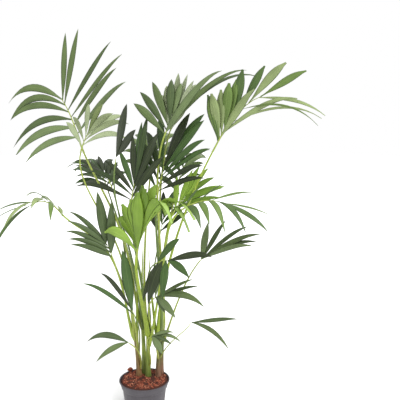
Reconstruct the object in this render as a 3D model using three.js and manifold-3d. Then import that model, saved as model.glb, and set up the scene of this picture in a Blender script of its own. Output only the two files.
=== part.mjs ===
// Kentia palm, a clump of young plants in one round nursery pot. Millimetres, +Z up.
// The origin is the centre of the pot's flat underside.
//
// Each young plant is a sheath stem cut flat at the ground. Long leaf stalks leave the stems, and each
// stalk carries one frond: a rib that arches over, with a row of lance-shaped leaflets on each side.
import * as THREE from 'three';
import { mergeVertices } from 'three/addons/utils/BufferGeometryUtils.js';
import Module from 'manifold-3d';

const wasm = await Module();
wasm.setup();

// ---------------------------------------------------------------- driving dimensions
const GAP = 0.3; // clear space left between neighbouring solids

const POT_HEIGHT = 200;
const RIM_RADIUS = 120;
const FOOT_RADIUS = 86;
const BODY_TOP_RADIUS = 104; // where the body meets the collar
const COLLAR_HEIGHT = 40; // the flared band at the top of the pot
const COLLAR_FOOT_RADIUS = 109;
const COLLAR_TOP_RADIUS = 117;
const COLLAR_STEP = 5; // height of the step from the body out to the collar
const LIP = 5; // width and depth of the rolled lip
const WALL = 2.5;
const FLOOR = 3; // thickness of the pot's floor
const POT_SEGMENTS = 40;

const BARK_EDGE = 196; // height of the bark where it meets the collar
const BARK_TOP = 206; // height of the heap round the stems
const BARK_CLEARANCE = 1; // between the bark and the pot's faceted wall
const HEAP_RADIUS = 102; // the heap's flat top, on which the stems stand
const BARK_SEGMENTS = 32;
const CHUNK = { radius: 14, at: [-76, 70, 215] }; // one large piece of bark by the rim

const STEM_SIDES = 8;
const STEM_STEPS = 5;
const FLARE = 1.15; // a stem foot's swelling, over the stem's own radius
const FLARE_SHARE = 0.6; // of a stem's height, over which it narrows to its top radius

const LIMB_SIDES = 5; // of stalks and ribs
const STALK_STEPS = 7;
const STALK_TAPER = 0.7; // a power: stalks thin out faster near their feet
const STALK_RING = 0.9; // radius of the ring of stalks round a stem, over the stem's top radius
const STALK_LEAVES = [0.12, 0.85]; // shares of a stem's height where the lowest and highest leave it
const LOW_FROND = 400; // a frond whose stalk leaves lowest starts at this height or under it
const HIGH_FROND = 1000; // and one whose stalk leaves highest, at this height or over it
// Pulls on a stalk's curve, as shares of its span: how far up the lower one sits, how far out for a low
// and a high frond, and how far the upper one trails behind the frond. apart is in mm: the lower pulls
// of neighbouring stalks stand that far out from their stem, so that the stalks part.
const STALK_PULL = { up: 0.38, out: [0.3, 0.12], behind: 0.22, apart: 25 };

const RIB_STEPS = 4;
const RIB_RADIUS = [0.9, 0.35]; // at its start and end, over the stalk's end

const LEAFLET_STATIONS = [0, 0.28, 0.64, 1]; // shares of a leaflet's length
const LEAFLET_ROOT = 12; // distance from a stalk's end to the first leaflet
const RIGHT_END = 0.96; // share of the rib where the last leaflet on the right starts
const LEAFLET_LIFT = 10; // degrees that leaflets rise out of the frond's plane
const LEAFLET_TWIST = 4; // degrees that leaflets turn about their own length
const LEAFLET_THICKNESS = 2.4; // the least
const THICKNESS_SHARE = 0.0105; // of a leaflet's length
const DROOP_POWER = 2.5; // a leaflet stays straight at first and hangs at its end
const ROOT_WIDTH = 0.18; // a leaflet's width at its root, as a share of its full width
const FULLNESS = 0.9; // a power: under 1, it fills out a leaflet's sides
const BLUNT_START = 1 / 3; // share of the length by which a blunt leaflet has the width of its end
// Departures from leaflet to leaflet, up and down: in degrees, or as shares of the leaflet's own size.
const SPREAD = { open: 4, lift: 8, long: 0.06, twist: 10, width: 0.1, droop: 0.25 };

// Sheath stems: where each stands, how far its top leans, its height and its radius at the foot and top.
const STEMS = {
  left_front: { foot: [-28, 30], lean: [-16, -6], height: 210, radius: [12, 8] },
  left_back: { foot: [-4, 52], lean: [-6, 8], height: 260, radius: [12, 8] },
  middle: { foot: [17, 20], lean: [4, -4], height: 300, radius: [12, 8] },
  right_front: { foot: [64, 22], lean: [10, -4], height: 210, radius: [12, 8] },
  right_back: { foot: [76, 52], lean: [14, 8], height: 250, radius: [12, 8] },
};

// One side of a frond: the number of leaflets, how far they open from the rib in degrees, their lengths,
// their droop over their length and their share of the frond's full width. These are given for the
// lowest, the middle and the last leaflet, or once for all. peak is a power: over 1 it moves the
// leaflets' widest point towards their ends, and under 1 towards their roots.
const three = (value) => (Array.isArray(value) ? value : [value, value, value]);
const side = (count, open, long, droop, slim = 1, peak = 1) => ({
  count,
  open: three(open),
  long: three(long),
  droop: three(droop),
  slim: three(slim),
  peak,
});

// Fronds: the stem that each leaves, where its rib starts and ends, how far the rib's middle rises over
// a straight line, how far the frond is rolled about its rib in degrees, its leaflets' full width, its
// stalk's radius at the foot and the top, its colour and its two sides. bow is a point that pulls the
// middle of a stalk towards it, and blunt is the width of leaflets' ends where they aren't pointed.
// bunch is a power: over 1 it stands the leaflets closer at the rib's start.
const BUNCH = 0.9; // where a frond gives none
const FRONDS = {
  high_left: {
    stem: 'left_back', base: [-280, 40, 1340], tip: [-365, 100, 1520], rise: 20, roll: -65,
    width: 34, stalk: [8, 4.5], tint: 'mature', bow: [-60, 60, 950],
    left: side(6, [70, 50, 15], [250, 320, 310], 0.5),
    right: side(6, [63, 61, 42], [400, 385, 320], [0.1, 0.06, 0.04], 0.75),
  },
  pale_left: {
    stem: 'left_front', base: [-252, -60, 1308], tip: [-222, -70, 1375], rise: 5, roll: 105,
    width: 32, stalk: [7, 3.5], tint: 'pale', bow: [-40, -40, 930],
    left: side(4, [46, 26, 5], [170, 190, 190], 0.25, 0.8, 1.2),
    right: side(4, [34, 26, 8], [280, 270, 200], [0.4, 0.32, 0.15], 0.85, 1.2),
  },
  dark_left: {
    stem: 'left_front', base: [-145, 120, 1095], tip: [-205, 200, 1175], rise: 15, roll: 0,
    width: 38, stalk: [7, 3.5], tint: 'dark',
    left: side(7, [62, 40, 10], [190, 200, 190], 0.28, 0.65),
    right: side(6, [45, 28, 10], [130, 160, 170], 0.12, 0.7),
  },
  slim_left: {
    stem: 'left_back', base: [-92, -170, 1255], tip: [-86, -174, 1290], rise: 0, roll: 80,
    width: 42, stalk: [6.5, 3], tint: 'dark', bow: [-80, -30, 980],
    left: side(1, -19, 290, 0.02),
    right: side(1, 42, 200, 0.02, 0.85),
  },
  dark_centre: {
    stem: 'left_back', base: [-40, -60, 1070], tip: [-25, -20, 1160], rise: 5, roll: 0,
    width: 42, stalk: [8.5, 4.5], tint: 'dark',
    left: side(6, [66, 34, 6], [330, 240, 300], [0.3, 0.1, 0.05], [0.45, 0.65, 0.85]),
    right: side(4, [28, 16, 4], [270, 290, 320], 0.08, 0.8),
  },
  top_centre: {
    stem: 'right_back', base: [106, 0, 1358], tip: [140, 10, 1428], rise: 5, roll: 50,
    width: 46, stalk: [8, 4], tint: 'mature',
    left: side(5, [58, 42, 16], [222, 235, 200], 0.05, 0.85, 1.3),
    right: side(3, [20, 18, 12], [480, 540, 570], [0.24, 0.28, 0.28], [0.75, 0.55, 0.42], 0.55),
  },
  top_pale: {
    stem: 'right_back', base: [124, 130, 1364], tip: [152, 110, 1430], rise: 5, roll: 0,
    width: 58, stalk: [7.5, 3.5], tint: 'pale',
    left: side(4, [38, 20, 4], [200, 225, 225], 0.05, 1, 1.5),
    right: side(4, [28, 14, 4], [210, 235, 245], 0.04, 1, 1.5),
  },
  dark_right: {
    stem: 'right_front', base: [73, 10, 1090], tip: [103, 60, 1221], rise: 10, roll: 0,
    width: 54, stalk: [8.5, 4.5], tint: 'dark',
    left: side(5, [36, 26, 10], [262, 292, 292], 0.08, [0.7, 0.85, 1], 1.35),
    right: side(7, [62, 44, 14], [272, 332, 312], [0.2, 0.12, 0.06], [0.5, 0.62, 1], 1.2),
  },
  high_right: {
    stem: 'right_front', base: [340, -40, 1330], tip: [525, -80, 1535], rise: 35, roll: 65,
    width: 58, stalk: [9.5, 4], tint: 'mid', blunt: 0.2, bunch: 2,
    left: side(10, [42, 25, 4], [225, 225, 245], 0.04, [1, 0.9, 0.65], 1.35),
    right: side(5, [2, 34, 24], [275, 450, 290], [0.1, 0.34, 0.3], [0.8, 0.18, 0.27]),
  },
  young_centre: {
    stem: 'middle', base: [-10, -150, 855], tip: [5, -150, 940], rise: 0, roll: 65,
    width: 72, stalk: [12, 6], tint: 'young', blunt: 0.32,
    left: side(7, [42, 16, -6], [255, 225, 250], [0.5, 0.05, 0.04], [0.75, 0.9, 1], 1.4),
    right: side(6, [2, 14, 22], [300, 510, 530], [0.06, 0.55, 0.68], [0.9, 0.6, 0.45], 1.2),
  },
  bright_right: {
    stem: 'right_back', base: [145, 60, 1005], tip: [195, 85, 1065], rise: 5, roll: 40,
    width: 32, stalk: [8.5, 4], tint: 'young',
    left: side(4, [30, 16, 4], [170, 200, 190], 0.05, 0.9),
    right: side(4, [42, 28, 8], [220, 225, 200], 0.12, 0.85),
  },
  arching_right: {
    stem: 'right_front', base: [185, -100, 1045], tip: [370, -150, 1085], rise: 25, roll: 20,
    width: 34, stalk: [9.5, 4.5], tint: 'mid',
    left: side(4, [44, 34, 8], [170, 200, 230], [0.2, 0.15, 0.15], 0.75),
    right: side(5, [46, 44, 12], [140, 150, 220], [0.9, 0.7, 0.25], 0.85),
  },
  low_right: {
    stem: 'right_back', base: [265, -60, 802], tip: [279, -64, 816], rise: 1, roll: 60,
    width: 46, stalk: [6, 3], tint: 'mature',
    left: side(3, [46, 18, 4], [190, 230, 300], [0.02, 0.05, 0.1], [1, 0.65, 0.5]),
    right: side(3, [18, 12, 8], [320, 340, 340], [0.16, 0.14, 0.12], 0.5),
  },
  back_low: {
    stem: 'middle', base: [70, 190, 860], tip: [85, 255, 940], rise: 5, roll: 0,
    width: 34, stalk: [4.5, 3], tint: 'dark',
    left: side(3, [30, 18, 8], [160, 170, 160], 0.05, 0.8),
    right: side(4, [45, 28, 10], [190, 190, 170], 0.1, 0.8),
  },
  front_centre: {
    stem: 'middle', base: [70, -150, 815], tip: [130, -185, 840], rise: 5, roll: 60,
    width: 36, stalk: [5, 3], tint: 'dark',
    left: side(2, [24, 18, 12], [190, 210, 250], 0.12),
    right: side(4, [126, 102, 20], [150, 150, 140], 0.22, [1.4, 1.5, 1]),
  },
  low_left: {
    stem: 'left_front', base: [-117, -120, 827], tip: [-152, -100, 900], rise: 5, roll: -60,
    width: 38, stalk: [5.5, 3], tint: 'mature',
    left: side(5, [46, 32, 8], [215, 240, 250], 0.18, 0.62, 0.8),
    right: side(2, [30, 22, 22], [255, 258, 260], 0.05, 1.15, 0.8),
  },
  foot_left: {
    stem: 'left_front', base: [-24, -130, 562], tip: [-38, -131, 594], rise: 1, roll: -75,
    width: 42, stalk: [4, 3], tint: 'dark',
    left: side(2, [18, 10, 1], [375, 345, 320], [0.15, 0.18, 0.2], 0.5),
    right: side(1, 16, 315, 0.02, 1.1),
  },
  foot_right: {
    stem: 'right_front', base: [57, -110, 640], tip: [74, -116, 652], rise: 1, roll: 65,
    width: 36, stalk: [4, 3], tint: 'mature',
    left: side(3, [54, 0, 0], [170, 240, 235], [0.03, 0.05, 0.08], [0.8, 0.45, 0.45]),
    right: side(3, [66, 44, 10], [90, 145, 265], [0.15, 0.2, 0.3], [0.7, 1.1, 0.9]),
  },
  small_front: {
    stem: 'middle', base: [33, -70, 440], tip: [51, -74, 450], rise: 1, roll: 60,
    width: 26, stalk: [4, 2.5], tint: 'mature',
    left: side(2, [-4, -4, -5], [130, 138, 145], [0.25, 0.3, 0.4], [0.6, 0.6, 0.7]),
    right: side(2, [63, 46, 29], [85, 100, 115], 0.15, [1.3, 1, 0.8]),
  },
  pair_left: {
    stem: 'left_front', base: [-54, -62, 403], tip: [-68, -64, 413], rise: 0, roll: -80,
    width: 32, stalk: [4, 3], tint: 'mature',
    left: side(1, 40, 150, 0.35, 0.9),
    right: side(1, 3, 245, 0.45),
  },
  pair_right: {
    stem: 'right_front', base: [216, -60, 494], tip: [228, -60, 509], rise: 0, roll: 80,
    width: 28, stalk: [3.5, 2.2], tint: 'mature',
    left: side(1, -40, 225, 0.02, 0.65),
    right: side(1, 59, 170, 0.42, 0.9),
  },
  arching_left: {
    stem: 'left_front', base: [-355, -60, 1025], tip: [-460, -130, 1075], rise: 30, roll: 0,
    width: 34, stalk: [8, 4], tint: 'mid', bow: [-90, 40, 900],
    left: side(5, [60, 45, 12], [180, 200, 230], 0.5, 0.8),
    right: side(5, [60, 45, 12], [180, 200, 230], 0.4, 0.8),
  },
  back_left: {
    stem: 'left_back', base: [-195, 300, 1065], tip: [-270, 420, 1160], rise: 20, roll: 0,
    width: 30, stalk: [6.5, 3.5], tint: 'dark',
    left: side(5, [50, 35, 12], [200, 220, 240], 0.35),
    right: side(5, [50, 35, 12], [200, 220, 240], 0.35),
  },
  back_middle: {
    stem: 'middle', base: [20, 280, 1145], tip: [35, 400, 1270], rise: 20, roll: 0,
    width: 32, stalk: [7, 4], tint: 'mature',
    left: side(6, [50, 35, 12], [200, 240, 240], 0.35),
    right: side(6, [50, 35, 12], [200, 240, 240], 0.35),
  },
  back_right: {
    stem: 'right_back', base: [145, 260, 1060], tip: [195, 360, 1195], rise: 20, roll: 0,
    width: 30, stalk: [6.5, 3.5], tint: 'mature',
    left: side(5, [50, 35, 12], [180, 200, 200], 0.35),
    right: side(5, [50, 35, 12], [180, 200, 200], 0.35),
  },
};

// Colours by the age of a frond.
const TINTS = {
  dark: 0x2f4a2a,
  mature: 0x47682f,
  mid: 0x5f8a38,
  pale: 0x9aab7a,
  young: 0x8fbf3a,
};

// ---------------------------------------------------------------- small helpers
const { clamp, degToRad, lerp } = THREE.MathUtils;
const UP = new THREE.Vector3(0, 0, 1);
const vec = (p) => new THREE.Vector3(...p);

// A value at a share of the way through three: the first, the middle and the last.
const through = ([first, middle, last], share) =>
  first * (1 - share) * (1 - 2 * share) +
  middle * 4 * share * (1 - share) +
  last * share * (2 * share - 1);

// The same small departure, from -size to size, each time it is asked for.
function vary(seed, index, size) {
  const wave = Math.sin(seed * 12.9898 + index * 78.233) * 43758.5453;
  return (2 * (wave - Math.floor(wave)) - 1) * size;
}

// A closed solid through rings of equal size, each counter-clockwise seen from the last ring.
// A ring of one point closes the solid in a tip.
function loft(rings) {
  const count = Math.max(...rings.map((ring) => ring.length));
  const starts = [];
  const positions = [];
  for (const ring of rings) {
    starts.push(positions.length / 3);
    for (const p of ring) positions.push(p.x, p.y, p.z);
  }
  const at = (r, i) => starts[r] + (rings[r].length === 1 ? 0 : i % count);
  const triangles = [];
  for (let r = 0; r + 1 < rings.length; r += 1) {
    for (let i = 0; i < count; i += 1) {
      if (rings[r].length > 1) triangles.push(at(r, i), at(r, i + 1), at(r + 1, i));
      if (rings[r + 1].length > 1) triangles.push(at(r, i + 1), at(r + 1, i + 1), at(r + 1, i));
    }
  }
  const last = rings.length - 1;
  for (let i = 1; i + 1 < count; i += 1) {
    if (rings[0].length > 1) triangles.push(at(0, 0), at(0, i + 1), at(0, i));
    if (rings[last].length > 1) triangles.push(at(last, 0), at(last, i), at(last, i + 1));
  }
  return new wasm.Manifold(
    new wasm.Mesh({
      numProp: 3,
      vertProperties: new Float32Array(positions),
      triVerts: new Uint32Array(triangles),
    }),
  );
}

// A tapering limb along a curve, with its ends cut square.
function limb(curve, radiusAt, sides, steps) {
  const rings = [];
  let across = null;
  for (let step = 0; step <= steps; step += 1) {
    const share = step / steps;
    const ahead = curve.getTangentAt(share);
    const guide = across ?? new THREE.Vector3(0, 1, 0);
    across = guide.clone().addScaledVector(ahead, -guide.dot(ahead)).normalize();
    const over = new THREE.Vector3().crossVectors(ahead, across);
    const centre = curve.getPointAt(share);
    const ring = [];
    for (let i = 0; i < sides; i += 1) {
      const turn = (2 * Math.PI * i) / sides;
      ring.push(
        centre
          .clone()
          .addScaledVector(across, radiusAt(share) * Math.cos(turn))
          .addScaledVector(over, radiusAt(share) * Math.sin(turn)),
      );
    }
    rings.push(ring);
  }
  return loft(rings);
}

// A curve from the first point to the last, which the points between pull towards themselves.
class Bend extends THREE.Curve {
  constructor(points) {
    super();
    this.points = points;
  }

  getPoint(share) {
    let row = this.points;
    while (row.length > 1) row = row.slice(1).map((p, i) => row[i].clone().lerp(p, share));
    return row[0].clone();
  }
}

const group = new THREE.Group();
const placed = []; // every solid so far, with its box, to keep the next ones clear of it

// The axis-aligned box round a solid.
function reach(solid) {
  const { min, max } = solid.boundingBox();
  return new THREE.Box3(vec(min), vec(max));
}

// Whether a solid meets any piece placed so far.
function touches(solid) {
  const box = reach(solid);
  return placed.some((other) => other.box.intersectsBox(box) && !other.solid.intersect(solid).isEmpty());
}

// The largest of a solid's separate lumps, without slivers too thin to keep.
const SLIVER = 0.02;
function largest(solid) {
  return solid.decompose().sort((a, b) => b.volume() - a.volume())[0].simplify(SLIVER);
}

function add(name, solid, { color, roughness, metalness = 0 }) {
  const mesh = solid.getMesh();
  const geometry = new THREE.BufferGeometry();
  geometry.setAttribute('position', new THREE.BufferAttribute(mesh.vertProperties, 3));
  geometry.setIndex(new THREE.BufferAttribute(mesh.triVerts, 1));
  geometry.computeVertexNormals();
  const material = new THREE.MeshStandardMaterial({ color, roughness, metalness });
  const node = new THREE.Mesh(geometry, material);
  node.name = name;
  group.add(node);
  placed.push({ solid, box: reach(solid) });
}

// ---------------------------------------------------------------- pot and bark
// A solid from one of the library's closed shapes.
function solidOf(geometry) {
  geometry.deleteAttribute('normal');
  geometry.deleteAttribute('uv');
  const merged = mergeVertices(geometry);
  const corners = merged.index.array;
  const triangles = [];
  for (let i = 0; i < corners.length; i += 3) {
    const [a, b, c] = corners.slice(i, i + 3);
    if (a !== b && b !== c && c !== a) triangles.push(a, b, c);
  }
  return new wasm.Manifold(
    new wasm.Mesh({
      numProp: 3,
      vertProperties: merged.attributes.position.array,
      triVerts: new Uint32Array(triangles),
    }),
  );
}

// A profile of radius and height points, from axis to axis, turned about the upright axis.
function turned(profile, segments) {
  const points = profile.map(([radius, height]) => new THREE.Vector2(radius, height));
  return solidOf(new THREE.LatheGeometry(points, segments).rotateX(Math.PI / 2));
}

const COLLAR_FOOT = POT_HEIGHT - COLLAR_HEIGHT;
const LIP_FOOT = POT_HEIGHT - LIP;
const bodyInside = (height) => lerp(FOOT_RADIUS, BODY_TOP_RADIUS, height / COLLAR_FOOT) - WALL;
const collarInside = COLLAR_TOP_RADIUS - WALL;

const pot = turned(
  [
    [0, 0],
    [FOOT_RADIUS, 0],
    [BODY_TOP_RADIUS, COLLAR_FOOT],
    [COLLAR_FOOT_RADIUS, COLLAR_FOOT + COLLAR_STEP],
    [COLLAR_TOP_RADIUS, LIP_FOOT],
    [RIM_RADIUS, LIP_FOOT],
    [RIM_RADIUS, POT_HEIGHT],
    [collarInside, POT_HEIGHT],
    [collarInside, LIP_FOOT],
    [COLLAR_FOOT_RADIUS - WALL, COLLAR_FOOT + COLLAR_STEP],
    [bodyInside(COLLAR_FOOT), COLLAR_FOOT],
    [bodyInside(FLOOR), FLOOR],
    [0, FLOOR],
  ],
  POT_SEGMENTS,
);
add('pot', pot, { color: 0x57555c, roughness: 0.55 });

const barkRadius = (inside) => inside - GAP - BARK_CLEARANCE;
const bark = turned(
  [
    [0, FLOOR + GAP],
    [barkRadius(bodyInside(FLOOR)), FLOOR + GAP],
    [barkRadius(bodyInside(COLLAR_FOOT)), COLLAR_FOOT],
    [barkRadius(COLLAR_FOOT_RADIUS - WALL), COLLAR_FOOT + COLLAR_STEP],
    [barkRadius(collarInside), BARK_EDGE],
    [HEAP_RADIUS, BARK_TOP],
    [0, BARK_TOP],
  ],
  BARK_SEGMENTS,
);
const chunk = solidOf(new THREE.IcosahedronGeometry(CHUNK.radius, 1).translate(...CHUNK.at));
add('bark_fill', bark.add(chunk), { color: 0x7a4634, roughness: 0.95 });

// ---------------------------------------------------------------- stems
const ground = BARK_TOP + GAP;

function stemCurve({ foot: [x, y], lean: [dx, dy], height }) {
  return new THREE.QuadraticBezierCurve3(
    new THREE.Vector3(x, y, ground),
    new THREE.Vector3(x + dx / 4, y + dy / 4, ground + height / 2),
    new THREE.Vector3(x + dx, y + dy, ground + height),
  );
}

const stemRadius = ([foot, top], share) =>
  lerp(foot * FLARE, top, Math.sqrt(Math.min(1, share / FLARE_SHARE)));

// A stem, cut level at the ground, and thickened all round by extra.
const GROUND_BOX = 40; // half the side of the block that cuts it
function stemSolid(stem, extra = 0) {
  const curve = stemCurve(stem);
  const whole = limb(curve, (share) => stemRadius(stem.radius, share) + extra, STEM_SIDES, STEM_STEPS);
  const [x, y] = stem.foot;
  const corner = (dx, dy, z) => new THREE.Vector3(x + dx * GROUND_BOX, y + dy * GROUND_BOX, z);
  const square = (z) => [corner(-1, -1, z), corner(1, -1, z), corner(1, 1, z), corner(-1, 1, z)];
  return whole.subtract(loft([square(ground - GROUND_BOX), square(ground)]));
}

const stemGuards = [];
for (const [name, stem] of Object.entries(STEMS)) {
  add(`stem_${name}`, stemSolid(stem), { color: 0x7d7440, roughness: 0.6 });
  stemGuards.push(stemSolid(stem, GAP));
}

// ---------------------------------------------------------------- stalks
// The stalks of one stem leave it side by side in a ring, in the order of the ways that they go.
function ringPlaces() {
  const places = {};
  for (const stem of Object.keys(STEMS)) {
    const [x, y] = STEMS[stem].foot;
    const heading = ([, frond]) => Math.atan2(frond.base[1] - y, frond.base[0] - x);
    const own = Object.entries(FRONDS).filter(([, frond]) => frond.stem === stem);
    own.sort((a, b) => heading(a) - heading(b));
    own.forEach(([name], i) => {
      places[name] = heading(own[0]) + (2 * Math.PI * i) / own.length;
    });
  }
  return places;
}

const places = ringPlaces();

function ribCurve({ base, tip, rise }) {
  const bend = vec(base).lerp(vec(tip), 0.5).addScaledVector(UP, 2 * rise);
  return new THREE.QuadraticBezierCurve3(vec(base), bend, vec(tip));
}

function stalkCurve(name, frond) {
  const stem = STEMS[frond.stem];
  const turn = places[name];
  const level = clamp((frond.base[2] - LOW_FROND) / (HIGH_FROND - LOW_FROND), 0, 1);
  const share = lerp(STALK_LEAVES[0], STALK_LEAVES[1], level);
  const out = stem.radius[1] * STALK_RING;
  const offset = new THREE.Vector3(Math.cos(turn) * out, Math.sin(turn) * out, 0);
  const start = stemCurve(stem).getPointAt(share).add(offset);
  const aim = ribCurve(frond).getTangentAt(0);
  const end = vec(frond.base).addScaledVector(aim, -GAP);
  const span = start.distanceTo(end);
  const lower = start.clone().lerp(end, lerp(STALK_PULL.out[0], STALK_PULL.out[1], level));
  lower.addScaledVector(offset, STALK_PULL.apart / out).setZ(start.z + span * STALK_PULL.up);
  const bow = frond.bow ? [vec(frond.bow)] : [];
  return new Bend([
    start,
    lower,
    ...bow,
    end.clone().addScaledVector(aim, -span * STALK_PULL.behind),
    end,
  ]);
}

const stalkRadius = ([foot, top], share) => lerp(foot, top, share ** STALK_TAPER);
const guards = [...stemGuards];
for (const [name, frond] of Object.entries(FRONDS)) {
  const curve = stalkCurve(name, frond);
  const radius = (share) => stalkRadius(frond.stalk, share);
  const solid = (extra) => limb(curve, (share) => radius(share) + extra, LIMB_SIDES, STALK_STEPS);
  const clear = largest(wasm.Manifold.difference([solid(0), ...guards]));
  guards.push(solid(GAP));
  add(`stalk_${name}`, clear, { color: 0x93a857, roughness: 0.5 });
}

// ---------------------------------------------------------------- fronds
// The directions of a frond at a share of its rib: along it, to its right and out of its face.
function frondAxes(frond, rib, share) {
  const level = vec(frond.tip).sub(vec(frond.base)).setZ(0).normalize();
  const ahead = rib.getTangentAt(share);
  const right = new THREE.Vector3().crossVectors(level, UP);
  const face = new THREE.Vector3().crossVectors(right, ahead).normalize();
  const roll = degToRad(frond.roll);
  return {
    ahead,
    right: right.clone().multiplyScalar(Math.cos(roll)).addScaledVector(face, -Math.sin(roll)),
    face: face.clone().multiplyScalar(Math.cos(roll)).addScaledVector(right, Math.sin(roll)),
  };
}

// Where a leaflet starts, how it sets out, and its size. sign is -1 on the left and 1 on the right, where
// the leaflets start half a step later.
const SEEDS_PER_FROND = 40;
function leafletPlan(frond, seed, rib, row, sign, index) {
  const turn = row.count === 1 ? 1 : index / (row.count - 1);
  const first = LEAFLET_ROOT / rib.getLength();
  const last = sign > 0 ? RIGHT_END : 1;
  const half = sign > 0 ? 0.5 / row.count : 0;
  const share = lerp(first, last, Math.min(1, turn ** (frond.bunch ?? BUNCH) + half));
  const { ahead, right, face } = frondAxes(frond, rib, share);
  const pick = seed * SEEDS_PER_FROND + index + (sign > 0 ? SEEDS_PER_FROND / 2 : 0);
  const open = degToRad(through(row.open, turn) + vary(pick, 1, SPREAD.open));
  const lift = degToRad(LEAFLET_LIFT + vary(pick, 2, SPREAD.lift));
  const out = ahead
    .clone()
    .multiplyScalar(Math.cos(open))
    .addScaledVector(right, sign * Math.sin(open))
    .addScaledVector(face, Math.sin(lift))
    .normalize();
  const long = through(row.long, turn) * (1 + vary(pick, 3, SPREAD.long));
  const twist = degToRad(sign * LEAFLET_TWIST + vary(pick, 4, SPREAD.twist));
  const across = new THREE.Vector3().crossVectors(face, out).normalize().applyAxisAngle(out, twist);
  return {
    root: rib.getPointAt(share),
    out,
    across,
    long,
    width: frond.width * through(row.slim, turn) * (1 + vary(pick, 5, SPREAD.width)),
    droop: through(row.droop, turn) * (1 + vary(pick, 6, SPREAD.droop)),
    blunt: frond.blunt ?? 0,
    peak: row.peak,
  };
}

// Share of its full width that a leaflet has at a share of its length.
function outline(share, peak, blunt) {
  const lance = Math.sin(Math.PI * share ** peak) ** FULLNESS;
  return Math.max(lance, ROOT_WIDTH * (1 - share), blunt * Math.min(1, share / BLUNT_START));
}

function leafletSolid({ root, out, across, long, width, droop, blunt, peak }, margin = 0) {
  const rings = LEAFLET_STATIONS.map((share) => {
    const centre = root
      .clone()
      .addScaledVector(out, long * share)
      .addScaledVector(UP, -long * droop * share ** DROOP_POWER);
    const fall = DROOP_POWER * droop * share ** (DROOP_POWER - 1);
    const ahead = out.clone().addScaledVector(UP, -fall).normalize();
    const edge = across.clone().addScaledVector(ahead, -across.dot(ahead)).normalize();
    const over = new THREE.Vector3().crossVectors(ahead, edge);
    if (share === 1 && blunt === 0) return [centre.addScaledVector(ahead, margin)];
    const half = (width / 2) * outline(share, peak, blunt) + margin;
    const thick = Math.max(LEAFLET_THICKNESS, long * THICKNESS_SHARE);
    return [
      centre.clone().addScaledVector(edge, -half).addScaledVector(over, -margin),
      centre.clone().addScaledVector(edge, half).addScaledVector(over, -margin),
      centre.clone().addScaledVector(over, thick + margin),
    ];
  });
  return loft(rings);
}

// A frond is its rib with the leaflets fused on. A leaflet that would touch another piece is left off.
Object.entries(FRONDS).forEach(([name, frond], place) => {
  const rib = ribCurve(frond);
  const radius = (share) => frond.stalk[1] * lerp(RIB_RADIUS[0], RIB_RADIUS[1], share);
  const solids = [limb(rib, radius, LIMB_SIDES, RIB_STEPS)];
  for (const [row, sign] of [[frond.left, -1], [frond.right, 1]]) {
    for (let index = 0; index < row.count; index += 1) {
      const plan = leafletPlan(frond, place + 1, rib, row, sign, index);
      if (!touches(leafletSolid(plan, GAP))) solids.push(leafletSolid(plan));
    }
  }
  const whole = largest(wasm.Manifold.union(solids));
  add(`frond_${name}`, whole, { color: TINTS[frond.tint], roughness: 0.45 });
});

export default group;
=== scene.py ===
# %% [markdown]
# # A potted kentia palm
#
# A kentia palm is sold as a clump: five seedlings share one nursery pot. Each seedling has a
# short sheath stem, long leaf stalks that arch outwards, and on every stalk one frond, which is a
# rib with a row of lance-shaped leaflets on each side.
#
# This lesson dresses the plain solids of such a palm with its real surfaces. The solids come
# first, as a frame that nothing here may move: every piece is made in metres, in the frame's own
# place.

# %% The frame
import math
import random

import bmesh
import bpy
from mathutils import Matrix, Vector, noise
from mathutils.bvhtree import BVHTree


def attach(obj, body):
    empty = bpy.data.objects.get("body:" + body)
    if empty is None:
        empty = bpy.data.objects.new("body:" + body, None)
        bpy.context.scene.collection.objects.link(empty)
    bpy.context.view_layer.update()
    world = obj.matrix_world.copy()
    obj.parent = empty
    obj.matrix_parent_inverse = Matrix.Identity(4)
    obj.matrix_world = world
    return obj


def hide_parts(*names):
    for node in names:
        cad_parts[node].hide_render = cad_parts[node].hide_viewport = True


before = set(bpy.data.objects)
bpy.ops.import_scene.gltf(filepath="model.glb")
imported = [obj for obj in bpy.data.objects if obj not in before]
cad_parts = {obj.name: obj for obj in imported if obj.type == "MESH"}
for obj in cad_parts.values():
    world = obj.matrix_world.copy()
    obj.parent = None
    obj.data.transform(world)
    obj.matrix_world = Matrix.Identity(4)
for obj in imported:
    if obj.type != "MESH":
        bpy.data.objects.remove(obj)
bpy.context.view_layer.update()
MM = 0.001
UP = Vector((0, 0, 1))

# %% [markdown]
# ## Camera, floor and light
#
# The palm is seen from the front, from about eye height, with the camera tilted a little down. A
# lens of middle length keeps the near fronds from swelling. The setting is a studio: a plain pale
# floor, a white surround that lights the palm from all sides, and one broad lamp from the front
# right that gives the leaflets a bright side and a shaded side. A sun lamp with a wide angle does
# that evenly over a plant of nearly two metres, where a small lamp would burn out the nearest
# fronds.

# %% Camera
EYE = (0.266, -2.8, 1.59)
TILT = 79.5  # degrees up from straight down
LENS = 56.52  # mm
SENSOR = 36  # mm wide


def linked(name, data):
    """A new object in the scene, with the mesh, the lamp or the camera that it shows."""
    made = bpy.data.objects.new(name, data)
    bpy.context.scene.collection.objects.link(made)
    return made


camera = linked("camera", bpy.data.cameras.new("camera"))
camera.data.lens = LENS
camera.data.sensor_width = SENSOR
camera.location = EYE
camera.rotation_euler = (math.radians(TILT), 0, 0)
bpy.context.scene.camera = camera
bpy.context.scene.view_settings.view_transform = "Standard"
print("the camera is at", EYE, "with a lens of", LENS, "mm")


# %% Colours
# The curve of the sRGB standard: a straight part up to its knee, and a power over it.
KNEE, SLOPE, OFFSET, POWER = 0.04045, 12.92, 0.055, 2.4


def channels(hex_colour):
    """The red, green and blue of a hex colour, from 0 to 255."""
    return [int(hex_colour[i:i + 2], 16) for i in (1, 3, 5)]


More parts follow.
